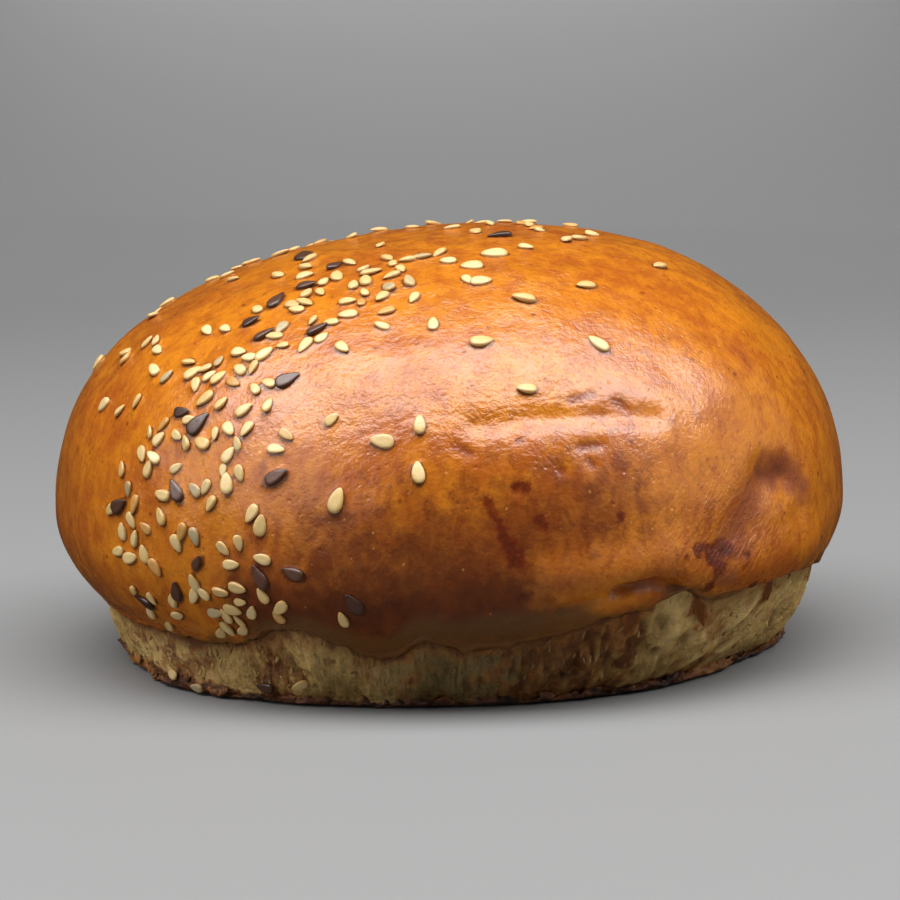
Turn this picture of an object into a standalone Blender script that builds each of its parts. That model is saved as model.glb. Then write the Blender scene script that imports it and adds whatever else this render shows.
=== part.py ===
"""A round brioche roll, glazed, with sesame and flax seeds baked onto its crust.

It is one baked solid. From below: a flat foot, a ragged browned heel, a band of torn pale crumb, and the
crust, whose lower lip hangs a little over the band and closes into the dome. The seeds are fused to it.
The roll stands on its foot at the origin, +Z up, with its front towards -Y. All sizes are in metres.

Places on the roll are given by two angles: the azimuth, from the front round to the right, and the climb
up the crust's outline, which is 0 where the roll is widest and 90 degrees at the crown.
"""

import math
import random

import bmesh
import bpy
import numpy as np
from mathutils import Matrix, Vector

MM = 0.001
NAME = "brioche_roll"

# Driving dimensions of the roll
ROLL_WIDTH = 115.5 * MM
ROLL_DEPTH = 112.5 * MM
ROLL_HEIGHT = 61.3 * MM
WIDEST_HEIGHT = 21.7 * MM
UNDERCUT = 26.6 * MM  # half height of the ellipse that the side follows below its widest level
DOME_FULLNESS = 2.25  # power of the dome's superellipse: 2 is a plain ellipse
CROWN_LEAN = 5.4 * MM  # how far the crown stands to the right of the foot's centre
LEAN_POWER = 5  # how late the lean sets in on the way up
CROWN_SLOPE = 0.006  # rise of the dome for each metre to the right
FOOT_RADIUS = 45.3 * MM
HEEL_ROUND = 1.3 * MM
HEEL_RAGGED = 0.6 * MM
BAND_BOW = 0.72  # below 1 the band of crumb swells outwards
BAND_CRAG = 0.45 * MM
LIP_HEIGHT = 7.6 * MM
LIP_ROUND = 0.9 * MM
LIP_OVERHANG = 1.3 * MM
SWELL = 0.45 * MM  # broad unevenness of the dome

# How many waves to the turn the unevenness of each stretch is made of
HEEL_WAVES = (7, 11, 17, 23)
BAND_WAVES = (19, 26, 34)
DOME_WAVES = (2, 3, 5)

# Bulges of the foot, and places where the oven lifted the lip: azimuth, rise, half width, angles in degrees
FOOT_BULGES = (
    (-46, 3.0 * MM, 20),
    (-96, 2.0 * MM, 18),
    (60, -1.2 * MM, 20),
    (88, 1.6 * MM, 15),
    (170, 1.5 * MM, 25),
)
LIP_LIFTS = (
    (58, 6.4 * MM, 42),
    (34, 2.6 * MM, 4),
    (24, 1.6 * MM, 8),
    (-4, 2.2 * MM, 3),
    (-11, -1.2 * MM, 5),
    (-24, 3.8 * MM, 8.5),
    (-85, 1.3 * MM, 22),
    (-128, 2.4 * MM, 17),
    (152, 2.1 * MM, 20),
    (-172, 1.4 * MM, 9),
)

# Folds of the crust: points (azimuth, climb) in degrees, width, and height above the skin
FOLDS = {
    "tuck": (((17, -14.5), (22, -11), (28, -9.5), (33, -12.5), (40, -20.5)), 1.7 * MM, -1.7 * MM),
    "brow": (((13, -7), (24, -5), (30, -5), (36, -9), (46, -11), (62, -9)), 3.8 * MM, 0.9 * MM),
    "tongue": (((0, -19), (14, -18), (25, -14)), 3.2 * MM, 0.5 * MM),
    "crease": (((4, 24.2), (11, 24.8), (20, 24.8), (31, 23.4)), 2.1 * MM, -0.55 * MM),
    "dimple": (((50.5, 8.8), (54, 8)), 3.4 * MM, -1.0 * MM),
    "trough": (((49, 7), (46, 4), (43, 0.5), (39, -4)), 3.0 * MM, -0.6 * MM),
    "branch": (((55, 7.5), (57.5, 5), (58, 2)), 2.4 * MM, -0.35 * MM),
}

# Seeds: length, width and thickness
SESAME = (3.1 * MM, 1.85 * MM, 0.9 * MM)
FLAX = (3.7 * MM, 2.0 * MM, 1.0 * MM)
SEED_SIDES = 6
SEED_RINGS = 3
SEED_TAPER = 0.5  # how much slimmer its point is than its blunt end, as a share of its width
SEED_STANDS_OUT = 0.22  # of its thickness, from its middle to the skin
SEED_SPACING = 1.8 * MM
SEED_SIZE_SPREAD = 0.1
SHAKEN_SIZE = 0.82  # the seeds shaken on are smaller than those that catch the eye
STREW_SEED = 11
SEEDS_FUSED = 156  # the solid carries the flax seeds first, then sesame picked evenly from all over

# Seeds that catch the eye: azimuth, climb, and turn from upright towards the left, in degrees
PLACED_FLAX = (
    (-64, 66, -70), (-42, 64, 0), (-40, 57, -75), (-42, 52, 10), (-42, 46, -55), (-36, 43, -50),
    (-26, 45, -45), (-26, 33, -55), (-43, 25, -80), (-39, 23, -35), (-40, 10, 40), (-24, 14, -62),
    (-52, 6, -60), (-36, -2, -45), (-50, -18, 60), (-41, -12, -10), (-26, -5, 25), (-21, -3, 75),
    (-13, -12, 30), (15, 80, 90),
)
PLACED_SESAME = (
    (14, 53, 75), (26, 40, 35), (12, 31, 90), (-4, 15, 5), (-15, 10, -15), (-9, 21, 80), (-4, 24, 0),
    (30, 56, 90), (60, 59, 90), (5, 42, -75), (4, 59, -80), (1, 65, 80), (8, 70, 85), (-15, -17, 10),
)

# Where the rest fell: azimuth, climb, spread, and how many sesame and flax seeds
SHAKES = (
    (-26, 51, 4.6 * MM, 24, 0),
    (-38, 61, 4.5 * MM, 10, 0),
    (-36, 37, 4.8 * MM, 25, 0),
    (-60, 31, 3.8 * MM, 8, 0),
    (-69, 55, 8.0 * MM, 10, 0),
    (-15, 77, 8.0 * MM, 12, 0),
    (60, 77, 6.0 * MM, 6, 0),
    (-36, 20, 5.0 * MM, 24, 0),
    (-47, 3, 5.0 * MM, 19, 0),
    (-28, 4, 3.2 * MM, 7, 0),
    (-34, -13, 5.5 * MM, 22, 0),
    (165, 66, 9.0 * MM, 18, 3),
    (-115, 48, 11.0 * MM, 20, 3),
    (-150, 30, 13.0 * MM, 18, 3),
)

# Rings of the solid, by stretch of the outline
FOOT, HEEL, BAND, LIP, CRUST, CROWN = range(6)
AROUND = 80
RINGS_OF_HEEL = 2
RINGS_OF_BAND = 4
RINGS_OF_LIP = 2
RINGS_OF_CRUST = 21
CRUST_CROWDING = 1.25  # above 1 the crust's rings crowd towards the lip, where its folds are
STEP = 1e-4  # of a stretch or a radian, for measuring slopes


def waves(azimuth, counts, seed):
    """An uneven value round the roll, from about -1 to 1, with so many waves to the turn."""
    draw = random.Random(seed)
    return sum(np.cos(count * azimuth + draw.uniform(0, math.tau)) for count in counts) / len(counts)


def swells(azimuth, bumps):
    """The sum of smooth bumps round the roll."""
    total = 0 * azimuth
    for middle, rise, width in bumps:
        away = (np.degrees(azimuth) - middle + 180) % 360 - 180
        total = total + rise * np.exp(-((away / width) ** 2))
    return total


def lip_height(azimuth):
    """Height of the crust's lower lip."""
    return LIP_HEIGHT + swells(azimuth, LIP_LIFTS)


def crust_outline(climb):
    """Distance from the axis and height of the crust's smooth outline."""
    up, down = np.maximum(climb, 0), np.minimum(climb, 0)
    blunt = 2 / DOME_FULLNESS
    radius = ROLL_WIDTH / 2 * np.where(climb > 0, np.abs(np.cos(up)) ** blunt, np.cos(down))
    height = WIDEST_HEIGHT + (ROLL_HEIGHT - WIDEST_HEIGHT) * np.sin(up) ** blunt + UNDERCUT * np.sin(down)
    return radius, height


def outline(azimuth, station):
    """Distance from the axis and height of the whole outline: a station is a stretch plus a share of it."""
    foot, heel, band, lip, crust = (np.clip(station - stretch, 0, 1) for stretch in range(CROWN))
    ragged = HEEL_RAGGED * waves(azimuth, HEEL_WAVES, seed=3)
    foot_radius = FOOT_RADIUS + swells(azimuth, FOOT_BULGES) + ragged
    edge_height = lip_height(azimuth) + LIP_ROUND
    edge_climb = -np.arcsin((WIDEST_HEIGHT - edge_height) / UNDERCUT)
    edge_radius, _ = crust_outline(edge_climb)
    tuck_radius = edge_radius - LIP_OVERHANG
    radius, height = crust_outline(edge_climb + (math.pi / 2 - edge_climb) * crust)
    radius = (
        radius
        - edge_radius
        + foot_radius * foot
        + HEEL_ROUND * np.sin(heel * math.pi / 2)
        + (tuck_radius - foot_radius - HEEL_ROUND) * band**BAND_BOW
        + LIP_OVERHANG * np.sin(lip * math.pi / 2)
    )
    height = (
        height
        - edge_height
        + HEEL_ROUND * (1 - np.cos(heel * math.pi / 2))
        + (edge_height - LIP_ROUND - HEEL_ROUND) * band
        + LIP_ROUND * (1 - np.cos(lip * math.pi / 2))
    )
    return radius, height


def place(azimuth, radius, height):
    """The point at a distance from the axis and a height, with the roll's oval plan and its lean."""
    rise = np.clip((height - WIDEST_HEIGHT) / (ROLL_HEIGHT - WIDEST_HEIGHT), 0, 1)
    x = radius * np.sin(azimuth) + CROWN_LEAN * rise**LEAN_POWER
    y = -radius * np.cos(azimuth) * ROLL_DEPTH / ROLL_WIDTH
    z = height * (1 + CROWN_SLOPE * x / ROLL_HEIGHT)
    return np.stack([x, y, z], axis=-1)


def on_crust(azimuth, climb):
    """The point of the smooth crust at these angles, in degrees."""
    return place(math.radians(azimuth), *crust_outline(math.radians(climb)))


def nearness(points, line, width):
    """1 on a line drawn over the crust, falling to 0 about twice its width away."""
    best = np.full(len(points), np.inf)
    corners = [on_crust(*angles) for angles in line]
    for start, end in zip(corners, corners[1:]):
        along = end - start
        share = np.clip((points - start) @ along / (along @ along), 0, 1)
        gap = points - (start + share[:, None] * along)
        best = np.minimum(best, np.sum(gap * gap, axis=1))
    return np.exp(-best / width**2)


def skin(azimuth, station):
    """Points of the roll's skin, with its folds, crags and unevenness."""
    points = place(azimuth, *outline(azimuth, station))
    radius_below, height_below = outline(azimuth, station - STEP)
    radius_above, height_above = outline(azimuth, station + STEP)
    run, rise = radius_above - radius_below, height_above - height_below
    normal = np.stack([rise * np.sin(azimuth), -rise * np.cos(azimuth), -run], axis=-1)
    normal /= np.linalg.norm(normal, axis=1)[:, None]
    on_band = np.clip(1 - 2 * np.abs(station - BAND - 0.5), 0, 1)
    on_dome = np.clip((station - CRUST) * 4, 0, 1)
    relief = on_band * BAND_CRAG * waves(azimuth, BAND_WAVES, seed=5)
    relief = relief + on_dome * SWELL * waves(azimuth + 2 * station, DOME_WAVES, seed=8) * (CROWN - station)
    for line, width, stands_out in FOLDS.values():
        relief = relief + (station >= CRUST) * stands_out * nearness(points, line, width)
    return points + normal * relief[:, None]


def stations():
    """The station of each ring, from the middle of the foot to the crown."""
    rings = [FOOT, HEEL]
    for stretch, count in ((HEEL, RINGS_OF_HEEL), (BAND, RINGS_OF_BAND), (LIP, RINGS_OF_LIP)):
        rings += [stretch + step / count for step in range(1, count + 1)]
    rings += [CRUST + (step / RINGS_OF_CRUST) ** CRUST_CROWDING for step in range(1, RINGS_OF_CRUST + 1)]
    return np.array(rings)


def make_roll(collection, material):
    """The roll without its seeds: a sphere whose rings are moved out to the roll's skin."""
    ring_stations = stations()
    steps = len(ring_stations) - 1
    ball = bmesh.new()
    bmesh.ops.create_uvsphere(ball, u_segments=AROUND, v_segments=steps, radius=1)
    climbs = np.array([math.asin(max(-1, min(1, vertex.co.z))) for vertex in ball.verts])
    azimuth = np.array([math.atan2(vertex.co.x, -vertex.co.y) for vertex in ball.verts])
    station = ring_stations[np.rint((climbs / math.pi + 0.5) * steps).astype(int)]
    for vertex, point in zip(ball.verts, skin(azimuth, station.astype(float))):
        vertex.co = point
    mesh = bpy.data.meshes.new(NAME)
    ball.to_mesh(mesh)
    ball.free()
    roll = bpy.data.objects.new(NAME, mesh)
    roll.data.materials.append(material)
    collection.objects.link(roll)
    return roll


def strew():
    """Where each seed lies: kind, azimuth, climb, turn and size, angles in radians."""
    draw = random.Random(STREW_SEED)
    placed = [(FLAX, *angles) for angles in PLACED_FLAX] + [(SESAME, *angles) for angles in PLACED_SESAME]
    seeds = [(kind, *(math.radians(angle) for angle in angles)) for kind, *angles in placed]
    taken = [place(azimuth, *crust_outline(climb)) for _, azimuth, climb, _ in seeds]
    for azimuth, climb, spread, sesame_count, flax_count in SHAKES:
        for kind, count in ((FLAX, flax_count), (SESAME, sesame_count)):
            landed = 0
            while landed < count:
                seed_climb = math.radians(climb) + draw.gauss(0, spread) / (ROLL_HEIGHT - WIDEST_HEIGHT)
                radius, _ = crust_outline(seed_climb)
                seed_azimuth = math.radians(azimuth) + draw.gauss(0, spread) / max(radius, 2 * spread)
                if seed_climb > math.pi / 2:
                    seed_climb, seed_azimuth = math.pi - seed_climb, seed_azimuth + math.pi
                point = place(seed_azimuth, *crust_outline(seed_climb))
                above_lip = point[2] - lip_height(seed_azimuth) - SEED_SPACING
                if above_lip > 0 and all(np.linalg.norm(point - other) > SEED_SPACING for other in taken):
                    seeds.append((kind, seed_azimuth, seed_climb, draw.uniform(0, math.tau)))
                    taken.append(point)
                    landed += 1
    sizes = [1 if seed < len(placed) else SHAKEN_SIZE for seed in range(len(seeds))]
    return [(*seed, size * (1 + draw.gauss(0, SEED_SIZE_SPREAD))) for seed, size in zip(seeds, sizes)]


def evenly_picked(seeds):
    """The largest seeds, and as many of the small ones as the solid has room for."""
    large = [seed for seed in seeds if seed[0] is FLAX]
    small = [seed for seed in seeds if seed[0] is SESAME]
    room = SEEDS_FUSED - len(large)
    return large + [small[index * len(small) // room] for index in range(room)]


def seat(roll, azimuth, climb, turn, lift):
    """The frame of a seed that lies on the crust: its length along X, its thickness along Z."""
    _, point, normal, _ = roll.closest_point_on_mesh(Vector(place(azimuth, *crust_outline(climb))))
    level = Vector((math.cos(azimuth), math.sin(azimuth), 0))
    upwards = normal.cross(level).normalized()
    length = Matrix.Rotation(turn, 3, normal) @ upwards
    turned = Matrix((length, normal.cross(length), normal)).transposed()
    return Matrix.Translation(point + normal * lift) @ turned.to_4x4()


def seed_mesh(name, length, width, thickness):
    """A plump drop: a small sphere drawn out to a point at one end."""
    drop = bmesh.new()
    to_x = Matrix.Rotation(math.pi / 2, 4, "Y")
    bmesh.ops.create_uvsphere(drop, u_segments=SEED_SIDES, v_segments=SEED_RINGS, radius=0.5, matrix=to_x)
    for vertex in drop.verts:
        taper = 1 - SEED_TAPER * vertex.co.x
        vertex.co = (vertex.co.x * length, vertex.co.y * width * taper, vertex.co.z * thickness * taper)
    mesh = bpy.data.meshes.new(name)
    drop.to_mesh(mesh)
    drop.free()
    return mesh


def fuse_seeds(roll):
    """Joins the seeds to the roll with one union, and removes the loose ones."""
    loose = bpy.data.collections.new("loose_seeds")
    bpy.context.scene.collection.children.link(loose)
    meshes = {SESAME: seed_mesh("sesame", *SESAME), FLAX: seed_mesh("flax", *FLAX)}
    for kind, azimuth, climb, turn, size in evenly_picked(strew()):
        seed = bpy.data.objects.new("seed", meshes[kind])
        stand = seat(roll, azimuth, climb, turn, SEED_STANDS_OUT * kind[2])
        seed.matrix_world = stand @ Matrix.Scale(size, 4)
        loose.objects.link(seed)
    union = roll.modifiers.new("seeds", "BOOLEAN")
    union.operation = "UNION"
    union.operand_type = "COLLECTION"
    union.collection = loose
    union.solver = "MANIFOLD"
    bpy.context.view_layer.objects.active = roll
    bpy.ops.object.modifier_apply(modifier=union.name)
    for seed in list(loose.objects):
        bpy.data.objects.remove(seed)
    bpy.data.collections.remove(loose)


def baked_crust():
    """The glazed golden crust."""
    material = bpy.data.materials.new("baked_crust")
    material.use_nodes = True
    shader = material.node_tree.nodes["Principled BSDF"]
    shader.inputs["Base Color"].default_value = (0.55, 0.2, 0.03, 1)
    shader.inputs["Roughness"].default_value = 0.32
    shader.inputs["Metallic"].default_value = 0.0
    return material


def main():
    for leftover in list(bpy.data.objects):
        bpy.data.objects.remove(leftover)
    collection = bpy.data.collections.new(NAME)
    bpy.context.scene.collection.children.link(collection)
    roll = make_roll(collection, baked_crust())
    fuse_seeds(roll)
    roll.data.shade_smooth()
    roll.data.set_sharp_from_angle(angle=math.radians(50))


main()
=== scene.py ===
"""The look of a round glazed brioche roll with sesame and flax seeds baked onto its crust.

The roll's solid is replaced by what it is made of: the glazed crust with the shreds that hang from its lip,
the torn pale crumb with its loose tufts, the crisp foot with its flakes, and the seeds. Sizes are in metres.

Places on the crust are given by two angles: the azimuth, from the front round to the right, and the climb up
its outline, which is 0 where the roll is widest and 90 degrees at the crown. Places on the band of crumb are
given by the azimuth and the share of the band's height.
"""

import itertools
import math
import random

import bmesh
import bpy
import numpy as np
from mathutils import Matrix, Vector
from mathutils.bvhtree import BVHTree


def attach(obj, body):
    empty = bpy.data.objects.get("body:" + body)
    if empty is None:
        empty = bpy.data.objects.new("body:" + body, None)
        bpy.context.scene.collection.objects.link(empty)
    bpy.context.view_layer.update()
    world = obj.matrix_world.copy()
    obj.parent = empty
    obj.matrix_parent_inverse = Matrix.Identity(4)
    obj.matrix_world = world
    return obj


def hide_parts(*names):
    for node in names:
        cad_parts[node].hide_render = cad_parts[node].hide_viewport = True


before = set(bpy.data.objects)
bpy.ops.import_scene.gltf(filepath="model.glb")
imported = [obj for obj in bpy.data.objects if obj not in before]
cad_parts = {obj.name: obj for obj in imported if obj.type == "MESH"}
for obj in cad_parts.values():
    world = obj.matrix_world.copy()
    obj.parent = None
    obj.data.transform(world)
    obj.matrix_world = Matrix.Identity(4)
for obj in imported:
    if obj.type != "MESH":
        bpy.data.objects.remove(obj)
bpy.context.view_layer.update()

MM = 0.001
NODE = "brioche_roll"
BODY = "root"

# Driving dimensions of the roll, as in its solid
ROLL_WIDTH = 115.5 * MM
ROLL_DEPTH = 112.5 * MM
ROLL_HEIGHT = 61.3 * MM
WIDEST_HEIGHT = 21.7 * MM
UNDERCUT = 26.6 * MM  # half height of the ellipse that the side follows below its widest level
DOME_FULLNESS = 2.25  # power of the dome's superellipse: 2 is a plain ellipse
CROWN_LEAN = 5.4 * MM  # how far the crown stands to the right of the foot's centre
LEAN_POWER = 5  # how late the lean sets in on the way up
CROWN_SLOPE = 0.006  # rise of the dome for each metre to the right
FOOT_RADIUS = 45.3 * MM
HEEL_ROUND = 1.3 * MM
HEEL_RAGGED = 0.6 * MM
BAND_BOW = 0.72  # below 1 the band of crumb swells outwards
LIP_HEIGHT = 7.6 * MM
LIP_ROUND = 0.9 * MM
LIP_OVERHANG = 1.3 * MM
SWELL = 0.45 * MM  # broad unevenness of the dome
HEEL_WAVES = (7, 11, 17, 23)
DOME_WAVES = (2, 3, 5)

# Where the foot reaches out and the lip runs higher: azimuth, how much, and width in degrees
FOOT_BULGES = (
    (-46, 3.0 * MM, 20),
    (-96, 2.0 * MM, 18),
    (60, -1.2 * MM, 20),
    (88, 1.6 * MM, 15),
    (170, 1.5 * MM, 25),
)
LIP_LIFTS = (
    (58, 6.4 * MM, 42),
    (34, 2.6 * MM, 4),
    (24, 1.6 * MM, 8),
    (-4, 2.2 * MM, 3),
    (-11, -1.2 * MM, 5),
    (-24, 3.8 * MM, 8.5),
    (-85, 1.3 * MM, 22),
    (-128, 2.4 * MM, 17),
    (152, 2.1 * MM, 20),
    (-172, 1.4 * MM, 9),
)

# Folds of the crust: points (azimuth, climb) in degrees, width, and height above the skin
FOLDS = {
    "tuck": (((23, -10.8), (28, -9.5), (32, -12), (36, -16.5), (40, -20.5)), 1.15 * MM, -1.6 * MM),
    "start of the tuck": (((15, -15), (19, -12.8), (24, -10.4)), 0.95 * MM, -0.6 * MM),
    "brow": (((13, -7), (24, -5), (30, -5), (36, -9), (46, -11), (62, -9)), 3.4 * MM, 0.9 * MM),
    "tongue": (((0, -19), (14, -18), (25, -14)), 3.2 * MM, 0.5 * MM),
    "crease": (((4, 24.2), (11, 24.8), (20, 24.8), (31, 23.4)), 1.6 * MM, -0.55 * MM),
    "dimple": (((50.5, 8.8), (54, 8)), 3.1 * MM, -1.0 * MM),
    "trough": (((49, 7), (46, 4), (43, 0.5), (39, -4)), 3.4 * MM, -0.55 * MM),
    "branch": (((55, 7.5), (57.5, 5), (58, 2)), 2.2 * MM, -0.35 * MM),
}

# Seeds: length, width and thickness
SESAME = (3.1 * MM, 1.85 * MM, 0.9 * MM)
FLAX = (3.7 * MM, 2.0 * MM, 1.0 * MM)
SEED_STANDS_OUT = 0.22  # of its thickness, from its middle to the skin
SEED_SPACING = 1.8 * MM
SEED_SIZE_SPREAD = 0.1
SHAKEN_SIZE = 0.82  # the seeds shaken on are smaller than those that catch the eye
STREW_SEED = 11

# Seeds that catch the eye: azimuth, climb, and turn from upright towards the left, in degrees
PLACED_FLAX = (
    (-64, 66, -70), (-42, 64, 0), (-40, 57, -75), (-42, 52, 10), (-42, 46, -55), (-36, 43, -50),
    (-26, 45, -45), (-26, 33, -55), (-43, 25, -80), (-39, 23, -35), (-40, 10, 40), (-24, 14, -62),
    (-52, 6, -60), (-36, -2, -45), (-50, -18, 60), (-41, -12, -10), (-26, -5, 25), (-21, -3, 75),
    (-13, -12, 30), (15, 80, 90),
)
PLACED_SESAME = (
    (14, 53, 75), (26, 40, 35), (12, 31, 90), (-4, 15, 5), (-15, 10, -15), (-9, 21, 80), (-4, 24, 0),
    (30, 56, 90), (60, 59, 90), (5, 42, -75), (4, 59, -80), (1, 65, 80), (8, 70, 85), (-15, -17, 10),
)

# Where the rest fell: azimuth, climb, spread, and how many sesame and flax seeds
SHAKES = (
    (-26, 51, 4.6 * MM, 24, 0),
    (-38, 61, 4.5 * MM, 10, 0),
    (-36, 37, 4.8 * MM, 25, 0),
    (-60, 31, 3.8 * MM, 8, 0),
    (-69, 55, 8.0 * MM, 10, 0),
    (-15, 77, 8.0 * MM, 12, 0),
    (60, 77, 6.0 * MM, 6, 0),
    (-36, 20, 5.0 * MM, 24, 0),
    (-47, 3, 5.0 * MM, 19, 0),
    (-28, 4, 3.2 * MM, 7, 0),
    (-34, -13, 5.5 * MM, 22, 0),
    (165, 66, 9.0 * MM, 18, 3),
    (-115, 48, 11.0 * MM, 20, 3),
    (-150, 30, 13.0 * MM, 18, 3),
)

# Stretches of the roll's outline, and the share of each that a ring lies at
FOOT, HEEL, BAND, LIP, CRUST, CROWN = range(6)
STEP = 1e-4  # of a stretch, for measuring slopes


# The roll's form

def waves(azimuth, counts, seed):
    """An uneven value round the roll, from about -1 to 1, with so many waves to the turn."""
    draw = random.Random(seed)
    return sum(np.cos(count * azimuth + draw.uniform(0, math.tau)) for count in counts) / len(counts)


def each_swell(azimuth, bumps):
    """Each of the smooth bumps round the roll, given by its middle, rise and width."""
    for middle, rise, width in bumps:
        away = (np.degrees(azimuth) - middle + 180) % 360 - 180
        yield rise * np.exp(-((away / width) ** 2))


def swells(azimuth, bumps):
    """The sum of smooth bumps round the roll."""
    return sum(each_swell(azimuth, bumps))


def lip_height(azimuth):
    """Height of the crust's lower lip."""
    return LIP_HEIGHT + swells(azimuth, LIP_LIFTS)


def crust_outline(climb):
    """Distance from the axis and height of the crust's smooth outline."""
    up, down = np.maximum(climb, 0), np.minimum(climb, 0)
    blunt = 2 / DOME_FULLNESS
    radius = ROLL_WIDTH / 2 * np.where(climb > 0, np.abs(np.cos(up)) ** blunt, np.cos(down))
    height = WIDEST_HEIGHT + (ROLL_HEIGHT - WIDEST_HEIGHT) * np.sin(up) ** blunt + UNDERCUT * np.sin(down)
    return radius, height


def lip_climb(azimuth):
    """The climb at which the crust turns in to its lip."""
    return -np.arcsin((WIDEST_HEIGHT - lip_height(azimuth) - LIP_ROUND) / UNDERCUT)


def outline(azimuth, station):
    """Distance from the axis and height of the whole outline: a station is a stretch plus a share of it."""
    foot, heel, band, lip, crust = (np.clip(station - stretch, 0, 1) for stretch in range(CROWN))
    ragged = HEEL_RAGGED * waves(azimuth, HEEL_WAVES, seed=3)
    foot_radius = FOOT_RADIUS + swells(azimuth, FOOT_BULGES) + ragged
    edge_height = lip_height(azimuth) + LIP_ROUND
    edge_climb = lip_climb(azimuth)
    edge_radius, _ = crust_outline(edge_climb)
    tuck_radius = edge_radius - LIP_OVERHANG
    radius, height = crust_outline(edge_climb + (math.pi / 2 - edge_climb) * crust)
    radius = (
        radius
        - edge_radius
        + foot_radius * foot
        + HEEL_ROUND * np.sin(heel * math.pi / 2)
        + (tuck_radius - foot_radius - HEEL_ROUND) * band**BAND_BOW
        + LIP_OVERHANG * np.sin(lip * math.pi / 2)
    )
    height = (
        height
        - edge_height
        + HEEL_ROUND * (1 - np.cos(heel * math.pi / 2))
        + (edge_height - LIP_ROUND - HEEL_ROUND) * band
        + LIP_ROUND * (1 - np.cos(lip * math.pi / 2))
    )
    return radius, height


def place(azimuth, radius, height):
    """The point at a distance from the axis and a height, with the roll's oval plan and its lean."""
    rise = np.clip((height - WIDEST_HEIGHT) / (ROLL_HEIGHT - WIDEST_HEIGHT), 0, 1)
    x = radius * np.sin(azimuth) + CROWN_LEAN * rise**LEAN_POWER
    y = -radius * np.cos(azimuth) * ROLL_DEPTH / ROLL_WIDTH
    z = height * (1 + CROWN_SLOPE * x / ROLL_HEIGHT)
    return np.stack([x, y, z], axis=-1)


def on_crust(line):
    """The points of the smooth crust at the azimuths and climbs of a line, in degrees."""
    angles = [(math.radians(azimuth), math.radians(climb)) for azimuth, climb in line]
    return [place(azimuth, *crust_outline(climb)) for azimuth, climb in angles]


def on_band(line):
    """The points of the band of crumb at the azimuths, in degrees, and shares of its height of a line."""
    stands = [(math.radians(azimuth), BAND + share) for azimuth, share in line]
    return [place(azimuth, *outline(azimuth, station)) for azimuth, station in stands]


def nearness(points, corners, width):
    """1 on the line through the corners, falling to 0 about twice its width away."""
    best = np.full(len(points), np.inf)
    for start, end in zip(corners, corners[1:] or corners):
        along = end - start
        share = np.clip((points - start) @ along / max(along @ along, STEP**2), 0, 1)
        gap = points - (start + share[:, None] * along)
        best = np.minimum(best, np.sum(gap * gap, axis=1))
    return np.exp(-best / width**2)


def marked(points, where, *marks):
    """Where any of the marks lies: each is a line on the crust or band, a half width and maybe a strength."""
    best = np.zeros(len(points))
    for line, width, *strength in marks:
        near = nearness(points, where(line), width)
        best = np.maximum(best, near * (strength[0] if strength else 1))
    return best


def outwards(azimuth, station):
    """The direction straight out of the smooth skin."""
    radius_below, height_below = outline(azimuth, station - STEP)
    radius_above, height_above = outline(azimuth, station + STEP)
    run, rise = radius_above - radius_below, height_above - height_below
    normal = np.stack([rise * np.sin(azimuth), -rise * np.cos(azimuth), -run], axis=-1)
    return normal / np.linalg.norm(normal, axis=1)[:, None]


def smooth_step(low, high, value):
    """0 below low, 1 above high, and smooth between."""
    share = np.clip((value - low) / (high - low), 0, 1)
    return share * share * (3 - 2 * share)


SHUFFLED = np.random.default_rng(5).permutation(256)
SLOPES = np.random.default_rng(6).normal(size=(256, 3))


def ripples(points):
    """Smooth noise from about -1 to 1, with a random slope at each corner of a grid of unit cells."""
    cell = np.floor(points).astype(int)
    share = points - cell
    fade = share**3 * (share * (share * 6 - 15) + 10)
    total = 0
    for corner in itertools.product((0, 1), repeat=3):
        x, y, z = (cell + corner).T
        slope = SLOPES[SHUFFLED[(SHUFFLED[(SHUFFLED[x & 255] + y) & 255] + z) & 255]]
        weight = np.prod(np.where(corner, fade, 1 - fade), axis=1)
        total = total + weight * np.sum(slope * (share - corner), axis=1)
    return total


def roughly(points, grain, octaves=3, stretch=(1, 1, 1), offset=0.0):
    """Ripples with features about a grain across, and finer ones at half the size and strength."""
    scaled = points / (grain * np.array(stretch)) + offset
    return sum(ripples(scaled * 2**octave + octave) / 2**octave for octave in range(octaves))


# Meshes

FRONT_CROWDING = 0.35  # how much closer together the points lie at the front than at the sides


def ball_grid(around, rings, crowding=0.0):
    """The faces of a closed ball, and the azimuth and the ring of each of its points, from the lowest up."""
    turn = np.arange(around) * math.tau / around - math.pi
    azimuth = np.concatenate([[0], np.tile(turn - crowding * np.sin(turn), rings - 1), [0]])
    ring = np.concatenate([[0], np.repeat(np.arange(1, rings), around), [rings]])
    here = np.arange(around)
    beside = np.roll(here, -1)
    start = 1 + around * np.arange(rings - 2)[:, None]
    sides = np.stack([start + here, start + beside, start + around + beside, start + around + here], axis=-1)
    top = len(ring) - 1
    below = [(0, int(1 + b), int(1 + a)) for a, b in zip(here, beside)]
    above = [(top, int(top - around + a), int(top - around + b)) for a, b in zip(here, beside)]
    return below + sides.reshape(-1, 4).tolist() + above, azimuth, ring


def finish_piece(name, faces, points, material, tones):
    """Makes a finished piece of the roll, with its tones kept at its points."""
    mesh = bpy.data.meshes.new(name)
    mesh.from_pydata(points.tolist(), [], faces)
    for tone, values in tones.items():
        layer = mesh.attributes.new(tone, "FLOAT", "POINT")
        layer.data.foreach_set("value", np.ascontiguousarray(values, np.float32))
    mesh.shade_smooth()
    mesh.materials.append(material)
    piece = bpy.data.objects.new(name, mesh)
    bpy.context.scene.collection.objects.link(piece)
    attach(piece, BODY)
    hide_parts(NODE)
    return piece


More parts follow.
